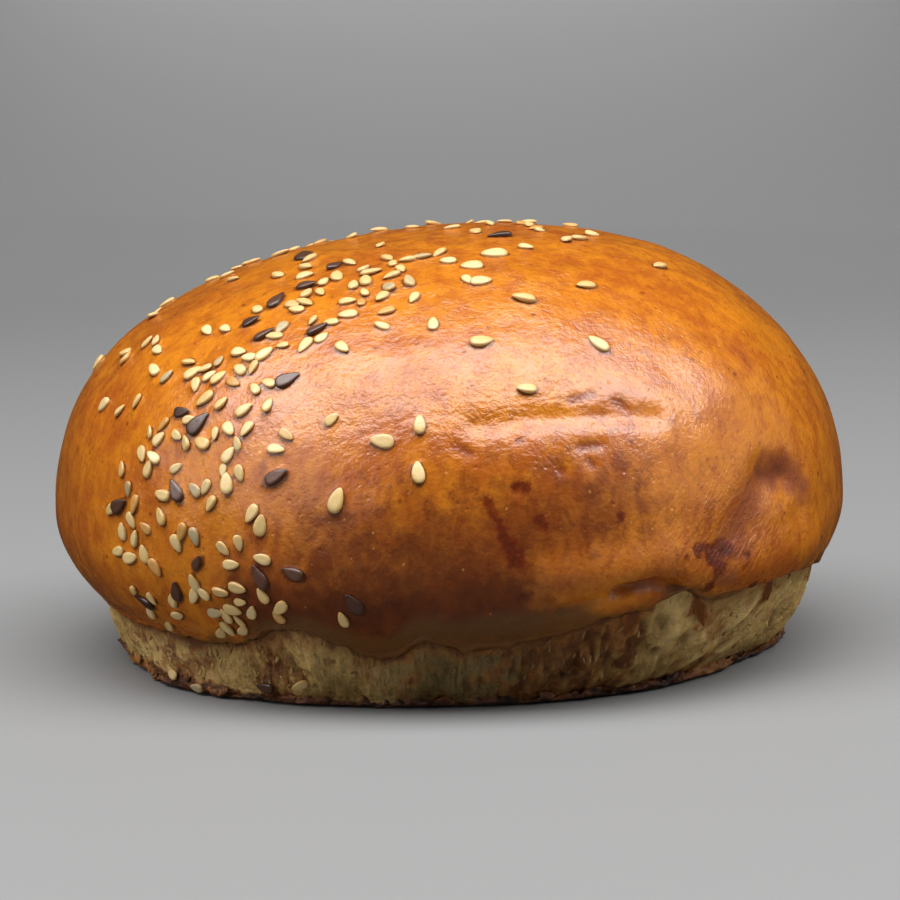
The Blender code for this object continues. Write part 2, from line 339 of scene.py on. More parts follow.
def finish_scraps(name, scraps, material):
    """Makes one finished piece of many small closed forms: the faces, points and tones of each."""
    faces, start = [], 0
    tones = {tone: [] for tone in scraps[0][2]}
    for scrap_faces, points, scrap_tones in scraps:
        faces += [[start + corner for corner in face] for face in scrap_faces]
        start += len(points)
        for tone, value in scrap_tones.items():
            tones[tone].append(np.broadcast_to(value, len(points)))
    points = np.concatenate([points for _, points, _ in scraps])
    tones = {tone: np.concatenate(values) for tone, values in tones.items()}
    finish_piece(name, faces, points, material, tones)


def skin_of(piece):
    """A piece's surface, to find places on."""
    return BVHTree.FromObject(piece, bpy.context.evaluated_depsgraph_get())


def seat(skin, near, azimuth, turn):
    """The frame of what lies on a skin near a point: its length along X, its thickness along Z."""
    point, normal, _, _ = skin.find_nearest(Vector(near))
    level = Vector((math.cos(azimuth), math.sin(azimuth), 0))
    upwards = normal.cross(level).normalized()
    length = Matrix.Rotation(turn, 3, normal) @ upwards
    turned = Matrix((length, normal.cross(length), normal)).transposed()
    return Matrix.Translation(point) @ turned.to_4x4()


# The crust

CRUST_AROUND = 464
RINGS_OF_CRUST = 200
RINGS_OF_LIP = 10
CRUST_CROWDING = 1.12  # above 1 the crust's rings crowd towards the lip
CORE_RADIUS = 0.86  # of the lip's, where the crust's hidden underside ends
FLOOR_OF_CRUST = 3.0 * MM  # from the lip up to the crust's hidden underside

# Relief of the crust: how far it stands out, and how far apart it comes
LUMPS, LUMP_GRAIN = 0.25 * MM, 12 * MM
WRINKLES, WRINKLE_GRAIN = 0.09 * MM, 2.3 * MM
WRINKLE_BEND, WRINKLE_BEND_GRAIN = 1.2 * MM, 5 * MM
PUCKERS, PUCKER_GRAIN = 0.08 * MM, 2.2 * MM
RAGGED_LIP, RAGGED_LIP_GRAIN = 0.55 * MM, 2.4 * MM
WOBBLE, WOBBLE_GRAIN = 0.6 * MM, 2.5 * MM  # of the edges of its brown marks

# Height of the dull stretch above the lip, and where it is higher: azimuth, rise and width in degrees
SKIRT = 2.2 * MM
SKIRT_RISES = (
    (7, 3.6 * MM, 11),
    (15, 1.8 * MM, 6),
    (-12, 1.6 * MM, 12),
    (52, -1.6 * MM, 18),
    (-62, -2.4 * MM, 16),
)

# Where the crust is wrinkled: a little all round, more about the front, from one climb in degrees to the next
WRINKLED_ALL_ROUND = 0.2
WRINKLED_FRONT = ((-2, 0.8, 30),)
WRINKLED_CLIMBS = (10, 30)

# Climbs between which the gloss of the glaze sets in, and the middle and half widths of its brush marks
GLAZED_CLIMBS = (-16, 10)
BRUSHED_AZIMUTH, BRUSHED_AROUND = 42, 13
BRUSHED_CLIMB, BRUSHED_UP = -2, 14

# Small dents of the crust: line of azimuth and climb, half width and depth
DENTS = (
    (((18.5, 28.2), (22, 29)), 0.9 * MM, 0.15 * MM),
    (((25.5, 27.2), (26.5, 26.6)), 1.0 * MM, 0.15 * MM),
    (((18.5, 18.6), (21.5, 18.8)), 0.9 * MM, 0.15 * MM),
    (((19.5, 16), (20, 15)), 0.8 * MM, 0.12 * MM),
    (((10, 20.5),), 0.8 * MM, 0.12 * MM),
    (((15.5, 14.5),), 0.9 * MM, 0.15 * MM),
    (((9, 11.5),), 1.0 * MM, 0.15 * MM),
    (((1, 20), (3, 18.5)), 0.9 * MM, 0.12 * MM),
    (((-100, 24), (-97, 25)), 1.0 * MM, 0.2 * MM),
    (((140, 30), (144, 29)), 1.1 * MM, 0.22 * MM),
    (((-160, 12),), 0.9 * MM, 0.15 * MM),
)

# Dark caramel spots and runs: line of azimuth and climb, half width
CARAMEL = (
    (((4.8, 9.5), (6.5, 6), (7.6, 2)), 0.75 * MM),
    (((7.4, 3.2), (8.4, 0)), 1.5 * MM),
    (((12, 6), (12.4, 4.8)), 1.0 * MM),
    (((23, 6), (23.2, 4)), 0.7 * MM),
    (((9, 12.2), (10, 11.6)), 0.8 * MM),
    (((35, -1), (41, -3)), 1.2 * MM),
    (((37, -4), (39, -9), (38, -13)), 1.3 * MM),
    (((44, -6), (44.5, -10), (47, -15), (48, -18)), 1.1 * MM),
    (((31, -1), (33, -4)), 0.8 * MM),
    (((95, 9), (96, 4)), 0.6 * MM),
    (((128, -6), (129, -10)), 0.7 * MM),
    (((-150, 6), (-149, 3)), 0.6 * MM),
    (((-88, 2), (-87, -3)), 0.7 * MM),
)

# Soft brown stretches beside the dimple and over the tuck, partly painted shade in these hollows: line of
# azimuth and climb, half width, strength
PRESSED_AND_SHADED = (
    (((56, 8), (59, 5)), 2.8 * MM, 0.75),
    (((49, 8), (45, 4), (42, -1)), 4.0 * MM, 0.75),
    (((41, -1), (37, -4)), 5.0 * MM, 0.35),
    (((38, -5), (41, -11)), 2.6 * MM, 0.65),
    (((14, -5), (21, -2), (31, -3)), 4.0 * MM, 0.4),
)

# Single marks of the same kind: the dimple and the line of the tuck, darker partly as painted shade; the
# browned stretches low on the front and over the middle, partly painted shade; the ledge over the tuck, kept
# golden as painted light; and the lobe that stays golden under it
SHADED_DIMPLE = ((50, 9.6), (55, 9)), 2.5 * MM, 1.3
TUCK_SHADE_LINE = FOLDS["tuck"][0], 0.9 * MM
LOW_TOAST_AND_SHADE = ((-26, -17), (-8, -17), (8, -14)), 8.5 * MM
FRONT_TOAST_AND_SHADE = ((-14, 0), (8, 1), (20, 5)), 12 * MM
LIT_LEDGE = ((17, -8), (24, -6), (36, -9), (46, -11), (62, -9)), 5 * MM
LOBE = ((22, -14.5), (27, -12.5)), 2.4 * MM


def crust_stations():
    """The station of each ring of the crust, from under its lip to the crown."""
    lip = [LIP + step / RINGS_OF_LIP for step in range(RINGS_OF_LIP)]
    crust = [CRUST + (step / RINGS_OF_CRUST) ** CRUST_CROWDING for step in range(RINGS_OF_CRUST + 1)]
    return np.array(lip + crust)


def crust_relief(points, azimuth, station, above_lip, wrinkled):
    """How far the crust stands out of its smooth outline, and where it has its small dents."""
    on_dome = np.clip((station - CRUST) * 4, 0, 1)
    relief = on_dome * SWELL * waves(azimuth + 2 * station, DOME_WAVES, seed=8) * (CROWN - station)
    for line, width, stands_out in FOLDS.values():
        relief = relief + (station >= CRUST) * stands_out * nearness(points, on_crust(line), width)
    dented_and_shaded = np.zeros(len(points))
    for line, width, depth in DENTS:
        near = nearness(points, on_crust(line), width)
        relief = relief - depth * near
        dented_and_shaded = np.maximum(dented_and_shaded, near)
    relief = relief + LUMPS * roughly(points, LUMP_GRAIN, 2) * on_dome
    bent = points + WRINKLE_BEND * roughly(points, WRINKLE_BEND_GRAIN, 2, offset=51)[:, None]
    wrinkle = np.abs(roughly(bent, WRINKLE_GRAIN, 2, stretch=(2.2, 1.3, 0.8), offset=7))
    relief = relief - WRINKLES * np.clip(1 - 1.4 * wrinkle, 0, 1) ** 2 * (0.12 + 0.88 * wrinkled)
    pucker = roughly(points, PUCKER_GRAIN, 2, stretch=(1, 1, 2.5), offset=3)
    near_lip = 1 - smooth_step(1 * MM, 6 * MM, above_lip)
    return relief + PUCKERS * near_lip * pucker, dented_and_shaded


def crust_tones(points, azimuth, climb, above_lip):
    """Where the glazed crust is browned, pushed in, dull or brushed, with painted shade low on the front, in
    its hollows and under its lip, and painted light on the ledge over the tuck.
    """
    wobble = [roughly(points, WOBBLE_GRAIN, 2, offset=shift) for shift in (31, 36, 41)]
    wobble = WOBBLE * np.stack(wobble, axis=-1)
    low_toast_and_shade = marked(points + 4 * wobble, on_crust, LOW_TOAST_AND_SHADE)
    front_toast_and_shade = marked(points + 6 * wobble, on_crust, FRONT_TOAST_AND_SHADE)
    lit_ledge = marked(points + wobble, on_crust, LIT_LEDGE)
    lobe = marked(points + wobble, on_crust, LOBE)
    # Partly painted shade: the dimple, the trough, the tuck and its line are coloured darker as well as brown
    pressed_and_shaded = np.maximum.reduce([
        marked(points + 1.5 * wobble, on_crust, SHADED_DIMPLE),
        marked(points + 2 * wobble, on_crust, *PRESSED_AND_SHADED),
        marked(points, on_crust, TUCK_SHADE_LINE),
    ])
    skirt_top = SKIRT + swells(azimuth, SKIRT_RISES) + 0.7 * MM * roughly(points, 4 * MM, 2, offset=11)
    skirt = 1 - smooth_step(-2.2 * MM, 1.4 * MM, above_lip - skirt_top)
    around = (np.degrees(azimuth) - BRUSHED_AZIMUTH) / BRUSHED_AROUND
    up = (climb - BRUSHED_CLIMB) / BRUSHED_UP
    return {
        "caramel": marked(points + wobble, on_crust, *CARAMEL),
        # Painted light: the ledge over the tuck is kept lighter, as if catching the light
        "toast_and_shade": np.maximum(low_toast_and_shade, 0.7 * front_toast_and_shade) * (1 - 0.9 * lit_ledge),
        "pressed_and_shaded": pressed_and_shaded,
        "blotched_and_shaded": front_toast_and_shade * (1 - 0.7 * lit_ledge),
        "skirt": skirt * (1 - 0.8 * lobe),
        # Painted shade: the lip's underside, under its overhang
        "lip": 1 - smooth_step(-0.6 * MM, 0.9 * MM, above_lip),
        "glaze": smooth_step(*GLAZED_CLIMBS, climb),
        "brushed": np.exp(-(around**2) - up**2),
    }


def make_crust(material):
    """The glazed crust: a closed cap whose underside is hidden in the crumb."""
    levels = crust_stations()
    faces, azimuth, ring = ball_grid(CRUST_AROUND, len(levels) + 1, FRONT_CROWDING)
    station = levels[np.maximum(ring - 2, 0)]
    hidden = ring < 2
    radius, height = outline(azimuth, station)
    radius = np.where(ring == 0, 0, np.where(hidden, radius * CORE_RADIUS, radius))
    height = np.where(hidden, height + FLOOR_OF_CRUST, height)
    points = place(azimuth, radius, height)
    normal = outwards(azimuth, np.maximum(station, LIP + 2 * STEP))
    edge = lip_climb(azimuth)
    climb = np.degrees(edge + (math.pi / 2 - edge) * np.clip(station - CRUST, 0, 1))
    above_lip = points[:, 2] - lip_height(azimuth)
    wrinkled = smooth_step(*WRINKLED_CLIMBS, climb) * (WRINKLED_ALL_ROUND + swells(azimuth, WRINKLED_FRONT))
    wrinkled = wrinkled * (0.4 + 0.6 * smooth_step(-0.3, 0.4, roughly(points, 9 * MM, 2, offset=61)))
    relief, dented_and_shaded = crust_relief(points, azimuth, station, above_lip, wrinkled)
    tatter = RAGGED_LIP * roughly(points, RAGGED_LIP_GRAIN, 3, offset=19)
    tatter = tatter * (1 - smooth_step(0, 2.5 * MM, above_lip))
    points = points + normal * np.where(hidden, 0, relief)[:, None]
    points[:, 2] += np.where(hidden, 0, tatter)
    tones = {"dented_and_shaded": dented_and_shaded, "wrinkled": wrinkled, **crust_tones(points, azimuth, climb, above_lip)}
    return finish_piece("crust", faces, points, material, tones)


# The crumb

CRUMB_AROUND = 1160
RINGS_OF_FOOT = (0, 0.8, 0.93)  # as shares of the way out to the heel
RINGS_OF_HEEL = 12
RINGS_OF_BAND = 52
FLAT = 0.99  # the station up to which the foot lies on the floor
TOP_OF_CRUMB = 2.6 * MM  # how far the crumb goes on up inside the crust
TOP_INSET = 1.5 * MM  # how much narrower it is there

# Relief of the torn crumb: how far it stands out, and how far apart it comes
TORN_LUMPS, TORN_LUMP_GRAIN = 1.1 * MM, 6.0 * MM
TUFTS, TUFT_GRAIN = 0.36 * MM, 1.6 * MM
STRANDS, STRAND_GRAIN = 0.3 * MM, 0.8 * MM
TEARS, TEAR_GRAIN = 0.2 * MM, 3.6 * MM
PITS, PIT_GRAIN = 0.3 * MM, 1.5 * MM
LOOPS, LOOP_GRAIN = 0.9 * MM, 2.4 * MM
FRAY, FRAY_GRAIN = 1.0 * MM, 1.8 * MM  # of the edges of its shreds
DRAWN_OUT = 0.5 * MM
SHRED_BULGE = 0.4 * MM

# Patches of the torn band that browned: azimuth, strength and half width in degrees
BROWNED = (
    (11, 1, 5), (20, 1, 5), (27.5, 1.1, 2), (-8, 0.5, 4), (-30, 0.7, 4), (-48, 0.7, 6), (-64, 0.4, 5),
    (44, 0.4, 4), (80, 0.6, 5), (110, 0.9, 6), (140, 0.7, 5), (171, 0.9, 7), (-160, 0.8, 5),
    (-128, 0.9, 7), (-97, 0.6, 5),
)

# Where the crumb is painted darker as shade, over the front of the band and at the back, where it is pale
# right up to the lip, and where it was pulled apart into loops: azimuth, strength and half width in degrees
BAND_SHADE_PATCHES = ((-6, 0.7, 9), (9, 1, 12), (180, 0.6, 30))
BARE = ((33, 0.9, 5), (62, 0.5, 12))
PULLED_APART = ((20, 1, 8),)

# How the strands of the crumb lean to the left, as the slope of their way up, and the azimuths in radians
# between which each lean sets in and ends
LEANS = (
    (1.3, (-2.2, -1.4), (-1.0, -0.6)),
    (-0.9, (0.55, 0.9), (1.3, 2.2)),
)

# Where the crisp foot reaches higher: azimuth, rise and width in degrees
CRISP_RISES = (
    (-58, 1.6 * MM, 9),
    (-42, 1.2 * MM, 7),
    (40, 0.8 * MM, 10),
    (120, 1.4 * MM, 25),
    (-130, 1.4 * MM, 25),
)

# Pale strands drawn out of the crumb: line of azimuth and share of the band, half width
DRAWN_STRANDS = (
    (((53, 0.92), (47, 0.5), (42, 0.15)), 1.3 * MM),
    (((63, 0.85), (56, 0.45), (49, 0.15)), 1.1 * MM),
    (((34, 0.9), (35, 0.6), (34, 0.35)), 1.8 * MM),
    (((41, 0.85), (39, 0.5)), 1.2 * MM),
    (((-84, 0.85), (-70, 0.55), (-54, 0.3)), 1.5 * MM),
    (((-62, 0.8), (-50, 0.6)), 1.2 * MM),
    (((115, 0.8), (108, 0.2)), 1.4 * MM),
    (((-110, 0.2), (-102, 0.8)), 1.4 * MM),
    (((178, 0.8), (172, 0.2)), 1.4 * MM),
)

# Runs and shreds of crust that hang over the crumb: line of azimuth and share of the band, half width
SHREDS = (
    (((37.5, 1), (39.3, 0.85), (40.5, 0.7)), 1.2 * MM),
    (((53.5, 1), (54.5, 0.9), (55, 0.78)), 1.3 * MM),
    (((27, 1), (26.5, 0.9), (26, 0.78)), 2.0 * MM),
    (((92, 1), (94, 0.6)), 1.2 * MM),
    (((-120, 1), (-118, 0.6)), 1.3 * MM),
    (((160, 1), (158, 0.65)), 1.3 * MM),
)


def lean_of(azimuth):
    """How far the strands of the crumb lean to the left, as the slope of their way up."""
    slope = 0
    for lean, start, end in LEANS:
        slope = slope + lean * (smooth_step(*start, azimuth) - smooth_step(*end, azimuth))
    return slope


def torn_forms(points, azimuth):
    """The forms of torn crumb, drawn out along its strands: lumps, tufts, strands, tears, pits and loops."""
    pulled = place(azimuth + lean_of(azimuth) * points[:, 2] / FOOT_RADIUS, FOOT_RADIUS, points[:, 2])

    def along_strands(grain, octaves, length, offset):
        return roughly(pulled, grain, octaves, (1, 1, length), offset)

    lump = np.abs(along_strands(TORN_LUMP_GRAIN, 2, 2.0, 9)) - 0.3
    tuft = along_strands(TUFT_GRAIN, 3, 1.8, 12)
    strand = along_strands(STRAND_GRAIN, 2, 5.0, 0)
    tear = np.clip(1 - 2.2 * np.abs(along_strands(TEAR_GRAIN, 2, 2.2, 4)), 0, 1) ** 2
    pit = smooth_step(0.5, 0.95, along_strands(PIT_GRAIN, 1, 1.0, 15))
    loop = smooth_step(0.1, 0.7, np.abs(along_strands(LOOP_GRAIN, 2, 3.0, 45)))
    return lump, tuft, strand, tear, pit, loop


def make_crumb(material):
    """The torn crumb from the floor to the lip: one closed piece, which goes on up inside the crust."""
    foot = [FOOT + share for share in RINGS_OF_FOOT]
    heel = [HEEL + step / RINGS_OF_HEEL for step in range(RINGS_OF_HEEL)]
    band = [BAND + step / RINGS_OF_BAND for step in range(RINGS_OF_BAND + 1)]
    levels = np.array(foot + heel + band)
    faces, azimuth, ring = ball_grid(CRUMB_AROUND, len(levels) + 1, FRONT_CROWDING)
    station = levels[np.minimum(ring, len(levels) - 1)]
    inside = ring - (len(levels) - 1)
    radius, height = outline(azimuth, station)
    height = height + TOP_OF_CRUMB * (inside > 0)
    radius = np.where(inside == 2, 0, radius - TOP_INSET * (inside == 1))
    points = place(azimuth, radius, height)
    normal = outwards(azimuth, np.clip(station, FOOT + 2 * STEP, LIP - 2 * STEP))
    share = np.clip(station - BAND, 0, 1)
    shown = (inside <= 0) * (station > FLAT)
    middle = shown * smooth_step(0, 1, np.clip(station - HEEL, 0, 1))
    middle = middle * np.sin(np.clip(share, 0.1, 1) * math.pi) ** 0.5

    lump, tuft, strand, tear, pit, loop = torn_forms(points, azimuth)
    apart = swells(azimuth, PULLED_APART)
    loop = loop * apart
    fray = np.stack([roughly(points, FRAY_GRAIN, 3, offset=shift) for shift in (53, 58, 63)], axis=-1)
    shred = marked(points + FRAY * fray, on_band, *SHREDS)
    drawn = marked(points + 0.8 * MM * tuft[:, None], on_band, *DRAWN_STRANDS)
    relief = TORN_LUMPS * lump + TUFTS * tuft + STRANDS * strand - PITS * pit - TEARS * tear
    relief = middle * (relief + LOOPS * (loop - 0.3 * apart) + DRAWN_OUT * drawn)
    relief = relief + shown * SHRED_BULGE * shred * smooth_step(0, 0.3, share)
    points = points + normal * relief[:, None]
    points[:, 2] = np.where(station <= FLAT, 0, np.maximum(points[:, 2], 0))

    wander = np.radians(3) * roughly(points, 3 * MM, 2, offset=37)
    patches = np.maximum.reduce(list(each_swell(azimuth + wander, BROWNED)))
    scorch = roughly(points, 3.2 * MM, 4, stretch=(1, 1, 0.8), offset=47)
    low = points[:, 2] + 1.3 * MM * roughly(points, 2.8 * MM, 3, offset=41) - swells(azimuth, CRISP_RISES)
    tones = {
        "browned": np.clip(patches * (0.9 + 0.9 * scorch - 0.6 * lump) + 0.2 * scorch, 0, 1.2),
        "band_shade": np.clip(swells(azimuth, BAND_SHADE_PATCHES), 0, 1),
        "shred": shred * shown,
        "drawn": drawn * shown,
        "shade": smooth_step(0.66, 1.0, share + 0.1 * tuft) * (1 - swells(azimuth, BARE)),
        # Painted shade: the valleys, hollows and gaps of the torn crumb are coloured darker
        "shaded_valley": smooth_step(0.12, -0.28, lump) * middle,
        "crisp": 1 - smooth_step(0.1 * MM, 1.5 * MM, low),
        "shaded_hollow": np.clip(pit + tear * 0.6 - tuft * 0.4, 0, 1) * middle,
        "gap": np.clip(apart * (1 - 1.8 * loop) - tuft * 0.3, 0, 1) * shown,
    }
    return finish_piece("crumb", faces, points, material, tones)


SHRED_SIDES, SHRED_RINGS = 20, 30
SHRED_THICKNESS = 0.3 * MM
SHRED_LIFT = 0.35 * MM  # how far a shred stands off the crumb
SHRED_CURL = 0.5 * MM  # how much further its tip does
SHRED_TORN, SHRED_TORN_GRAIN = 0.3, 1.3 * MM  # how uneven its width is, as a share of it


def make_shreds(material):
    """Thin torn tongues of crust that hang from the lip over the crumb."""
    shreds = []
    for number, (line, width) in enumerate(SHREDS):
        faces, around, ring = ball_grid(SHRED_SIDES, SHRED_RINGS)
        along = (1 - np.cos(ring / SHRED_RINGS * math.pi)) / 2
        knots = np.linspace(0, 1, len(line))
        azimuth, share = (np.interp(along, knots, values) for values in zip(*line))
        azimuth = np.radians(azimuth)
        middle = place(azimuth, *outline(azimuth, BAND + share))
        out = outwards(azimuth, BAND + np.minimum(share, 1 - 2 * STEP))
        start, end = on_band((line[0], line[-1]))
        side = np.cross((end - start) / np.linalg.norm(end - start), out)
        edge = middle + side * np.sin(around)[:, None] * width
        torn = 1 + SHRED_TORN * roughly(edge, SHRED_TORN_GRAIN, 2, offset=number * 5.0)
        girth = np.sin(along * math.pi) ** 0.3 * (1 - 0.75 * along) * torn
        across = width * girth * np.sin(around)
        over = SHRED_LIFT + SHRED_THICKNESS * girth * np.cos(around) + SHRED_CURL * along**2
        points = middle + side * across[:, None] + out * over[:, None]
        shreds.append((faces, points, {"caramel": 0.8 * (1 - np.sin(around) ** 6), "skirt": 0.6}))
    finish_scraps("shreds", shreds, material)


# Small tufts of crumb that stand off where it was torn
LOOSE_TUFTS = 700
TUFT_SIDES, TUFT_RINGS = 8, 8
TUFT_LENGTH, TUFT_LENGTHS = 1.15 * MM, (0.4, 1.3)  # and the least and most times that
TUFT_WIDTH, TUFT_WIDTHS = 0.45 * MM, (0.5, 1.2)
TUFT_ROOT = 0.12 * MM  # how deep its root end is sunken
TUFT_BEND = 0.11  # at most, as a share of its length
TUFT_SWAY = 0.15


def make_tufts(crumb, material):
    """Loose tufts of crumb: small tapered strands, rooted at one end and bent off the torn band."""
    skin = skin_of(crumb)
    draw = random.Random(33)
    tufts = []
    for _ in range(LOOSE_TUFTS):
        faces, around, ring = ball_grid(TUFT_SIDES, TUFT_RINGS)
        azimuth, share = draw.uniform(-math.pi, math.pi), draw.uniform(0.1, 0.95)
        turn = math.atan(lean_of(azimuth)) + draw.gauss(0, 0.25) + draw.choice((0, math.pi))
        stand = seat(skin, place(azimuth, *outline(azimuth, BAND + share)), azimuth, turn)
        from_tip = ring / TUFT_RINGS * math.pi
        along = np.cos(from_tip)
        girth = np.sin(from_tip) ** 0.7 * (1 - 0.5 * along)
        length = TUFT_LENGTH * draw.uniform(*TUFT_LENGTHS)
        width = TUFT_WIDTH * draw.uniform(*TUFT_WIDTHS)
        bend = draw.uniform(0, TUFT_BEND) * length * (along + 1) ** 2 - TUFT_ROOT
        sway = draw.uniform(-TUFT_SWAY, TUFT_SWAY) * length * along**2
        side, over = girth * np.sin(around) * width + sway, girth * np.cos(around) * width
        shape = np.stack([along * length, side, over], axis=-1) / 2
        shape[:, 2] += bend
        points = shape @ np.array(stand.to_3x3()).T + np.array(stand.translation)
        tufts.append((faces, points, {
            "band_shade": np.clip(swells(azimuth, BAND_SHADE_PATCHES), 0, 1),
            "browned": draw.choice((0, 0, 0.2, 0.6)),
            "shade": smooth_step(0.7, 1, share),
            "crisp": 0.7 * smooth_step(0.3, 0.1, share),
        }))
    finish_scraps("tufts", tufts, material)


# The crisp foot

FOOT_AROUND = 840
FOOT_SECTION = 16  # points round the foot crust's section
FOOT_LEVEL = 0.05  # share of the band's height that its outline is taken at
FOOT_THICKNESS = 0.55 * MM
FOOT_INSET = 0.35 * MM
FOOT_LIFT = 0.35 * MM  # of its lower edge off the floor
FOOT_RISE = 0.75 * MM  # half the height of its torn edge
FOOT_CURL = 0.5 * MM  # how far out that edge curls
FOOT_TATTER = 0.65 * MM

# Where the torn edge of the foot crust stands higher and further out: azimuth, share more, width in degrees
FOOT_PEAKS = (
    (-68, 1.3, 17), (-44, 0.5, 8), (41, 0.4, 5), (52, 1.2, 5), (72, -0.6, 11), (105, 0.5, 16),
    (150, 0.8, 15), (-150, 0.7, 20),
)

# Where it is baked to a lighter orange brown: azimuth, strength, width in degrees
FOOT_GOLD = (
    (-68, 1, 16), (-38, 0.5, 6), (50, 0.9, 10), (105, 0.6, 20), (155, 0.8, 20), (-150, 0.8, 25),
)


def make_foot(material):
    """The bottom crust, whose torn edge shows all round under the crumb: a closed ring."""
    turn = np.arange(FOOT_AROUND) * math.tau / FOOT_AROUND - math.pi
    turn = turn - FRONT_CROWDING * np.sin(turn)
    azimuth = np.repeat(turn, FOOT_SECTION)
    around = np.tile(np.arange(FOOT_SECTION) * math.tau / FOOT_SECTION, FOOT_AROUND)
    radius, _ = outline(azimuth, BAND + FOOT_LEVEL)
    level = place(azimuth, radius, 0)
    peaks = 1 + swells(azimuth, FOOT_PEAKS)
    torn = np.clip(0.6 + 0.8 * roughly(level, 3.0 * MM, 4, offset=71), 0.1, 1.6) * peaks
    curl = FOOT_CURL * np.clip(roughly(level, 4.2 * MM, 2, offset=77), -0.5, 1) * peaks
    edge = np.clip(np.sin(around), 0, 1)
    height = FOOT_LIFT + FOOT_RISE * torn * (1 + np.sin(around))
    out = FOOT_THICKNESS * np.cos(around) * (1 - 0.75 * edge) + curl * edge**2 - FOOT_INSET
    points = place(azimuth, radius + out, height)
    grit = roughly(points, 1.6 * MM, 4, stretch=(1, 1, 0.5), offset=83)
    grit = grit * np.clip(np.cos(around) + 0.4, 0, 1)
    away = np.stack([np.sin(azimuth), -np.cos(azimuth), np.full_like(azimuth, 0.4)], axis=-1)
    points = points + FOOT_TATTER * away * grit[:, None]
    points[:, 2] = np.maximum(points[:, 2], 0)
    ring, step = np.meshgrid(np.arange(FOOT_AROUND), np.arange(FOOT_SECTION), indexing="ij")
    here, beside = ring * FOOT_SECTION, (ring + 1) % FOOT_AROUND * FOOT_SECTION
    above = (step + 1) % FOOT_SECTION
    faces = np.stack([here + step, beside + step, beside + above, here + above], axis=-1)
    tones = {
        "edge": edge,
        "tint": 0.5 + 0.7 * roughly(level, 4 * MM, 3, offset=89),
        "gold": np.clip(swells(azimuth, FOOT_GOLD), 0, 1),
    }
    finish_piece("foot_crust", faces.reshape(-1, 4).tolist(), points, material, tones)


FLAKES = 26
FLAKE_SIDES, FLAKE_RINGS = 12, 8
FLAKE_SHAPE = np.array((1.4, 0.7, 0.22)) * MM  # half its length, width and thickness
FLAKE_SIZES = (0.35, 0.5, 0.7, 1)
FLAKE_WARP = 0.35 * MM
FLAKE_SPOTS = (-62, -50, 40, 52)  # the azimuths, in degrees, that every other flake lies near
FLOOR_GAP = 0.05 * MM


def make_flakes(material):
    """Crisp flakes and crumbs that cling to the foot."""
    draw = random.Random(21)
    flakes = []
    for flake in range(FLAKES):
        faces, around, ring = ball_grid(FLAKE_SIDES, FLAKE_RINGS)
        spread = 360 * flake / FLAKES if flake % 2 else draw.choice(FLAKE_SPOTS) + draw.gauss(0, 9)
        azimuth = math.radians(spread + draw.uniform(-2, 2))
        size = draw.choice(FLAKE_SIZES) * draw.uniform(0.8, 1.2)
        from_tip = ring / FLAKE_RINGS * math.pi
        girth = np.sin(from_tip)
        ball = np.stack([np.cos(from_tip), girth * np.sin(around), girth * np.cos(around)], axis=-1)
        ball = ball * (1 + 0.45 * roughly(ball, 1.1, 2, offset=flake * 3.0))[:, None]
        points = ball * FLAKE_SHAPE * size
        points[:, 2] += FLAKE_WARP * size * ball[:, 0] ** 2
        radius, height = outline(azimuth, BAND + draw.uniform(-0.6, 0.12))
        out = Vector((math.sin(azimuth), -math.cos(azimuth), 0))
        along = Vector((math.cos(azimuth), math.sin(azimuth), draw.uniform(-0.4, 0.5))).normalized()
        up = (out * draw.uniform(0.5, 1.6) + Vector((0, 0, draw.uniform(0.2, 1)))).normalized()
        turned = np.array(Matrix((along, up.cross(along).normalized(), up)))
        points = points @ turned + place(azimuth, radius + draw.uniform(-0.2, 0.5) * MM, height)
        points[:, 2] += max(0, FLOOR_GAP - points[:, 2].min())
        gold = min(swells(azimuth, FOOT_GOLD), 1)
        flakes.append((faces, points, {"edge": np.abs(ball[:, 0]), "tint": draw.random(), "gold": gold}))
    finish_scraps("flakes", flakes, material)


# The seeds

# Points round a seed, rings along it, and how much narrower its pointed end is
SESAME_SIDES, SESAME_RINGS, SESAME_POINT = 16, 12, 0.2
FLAX_SIDES, FLAX_RINGS, FLAX_POINT = 20, 16, 0.33
SEED_SUNK = 0.3  # how far the middle of a seed's flat side is sunken, of its thickness
SEED_TIP = 0.8  # how far the point is drawn out
SEED_BEND = 0.12  # at most, of half its width
SEED_BREADTHS = (-0.1, 0.08)  # the least and most that its width is off by
SEED_THICKNESSES = (-0.15, 0.15)
SEED_LIFTS = (0.02, 0.16)  # the least and most more that it stands out, of its thickness
SEED_ROLL, SEED_PITCH = 0.2, 0.08  # how unevenly it lies, in radians
# The dark ring of glaze round each seed is moved down, partly as painted shadow on the seed's lower side
COLLAR_REACH = 0.24  # of half a seed, how far the glaze that holds it shows round it
COLLAR_RISE = 0.12 * MM
COLLAR_SAG_AND_SHADOW = 0.2 * MM  # how far the glaze ran down from each seed

# Seeds that fell to the foot: azimuth, height, turn in degrees
STRAY_SESAME = ((-51.5, 2.0 * MM, 80), (-45, 0.8 * MM, 85), (-24.5, 3.0 * MM, 100))
STRAY_FLAX = ((-31, 1.6 * MM, 85),)
STRAY_SIZE = 0.78
STRAY_REACH = 4 * MM  # how far outside the foot's edge each is dropped from


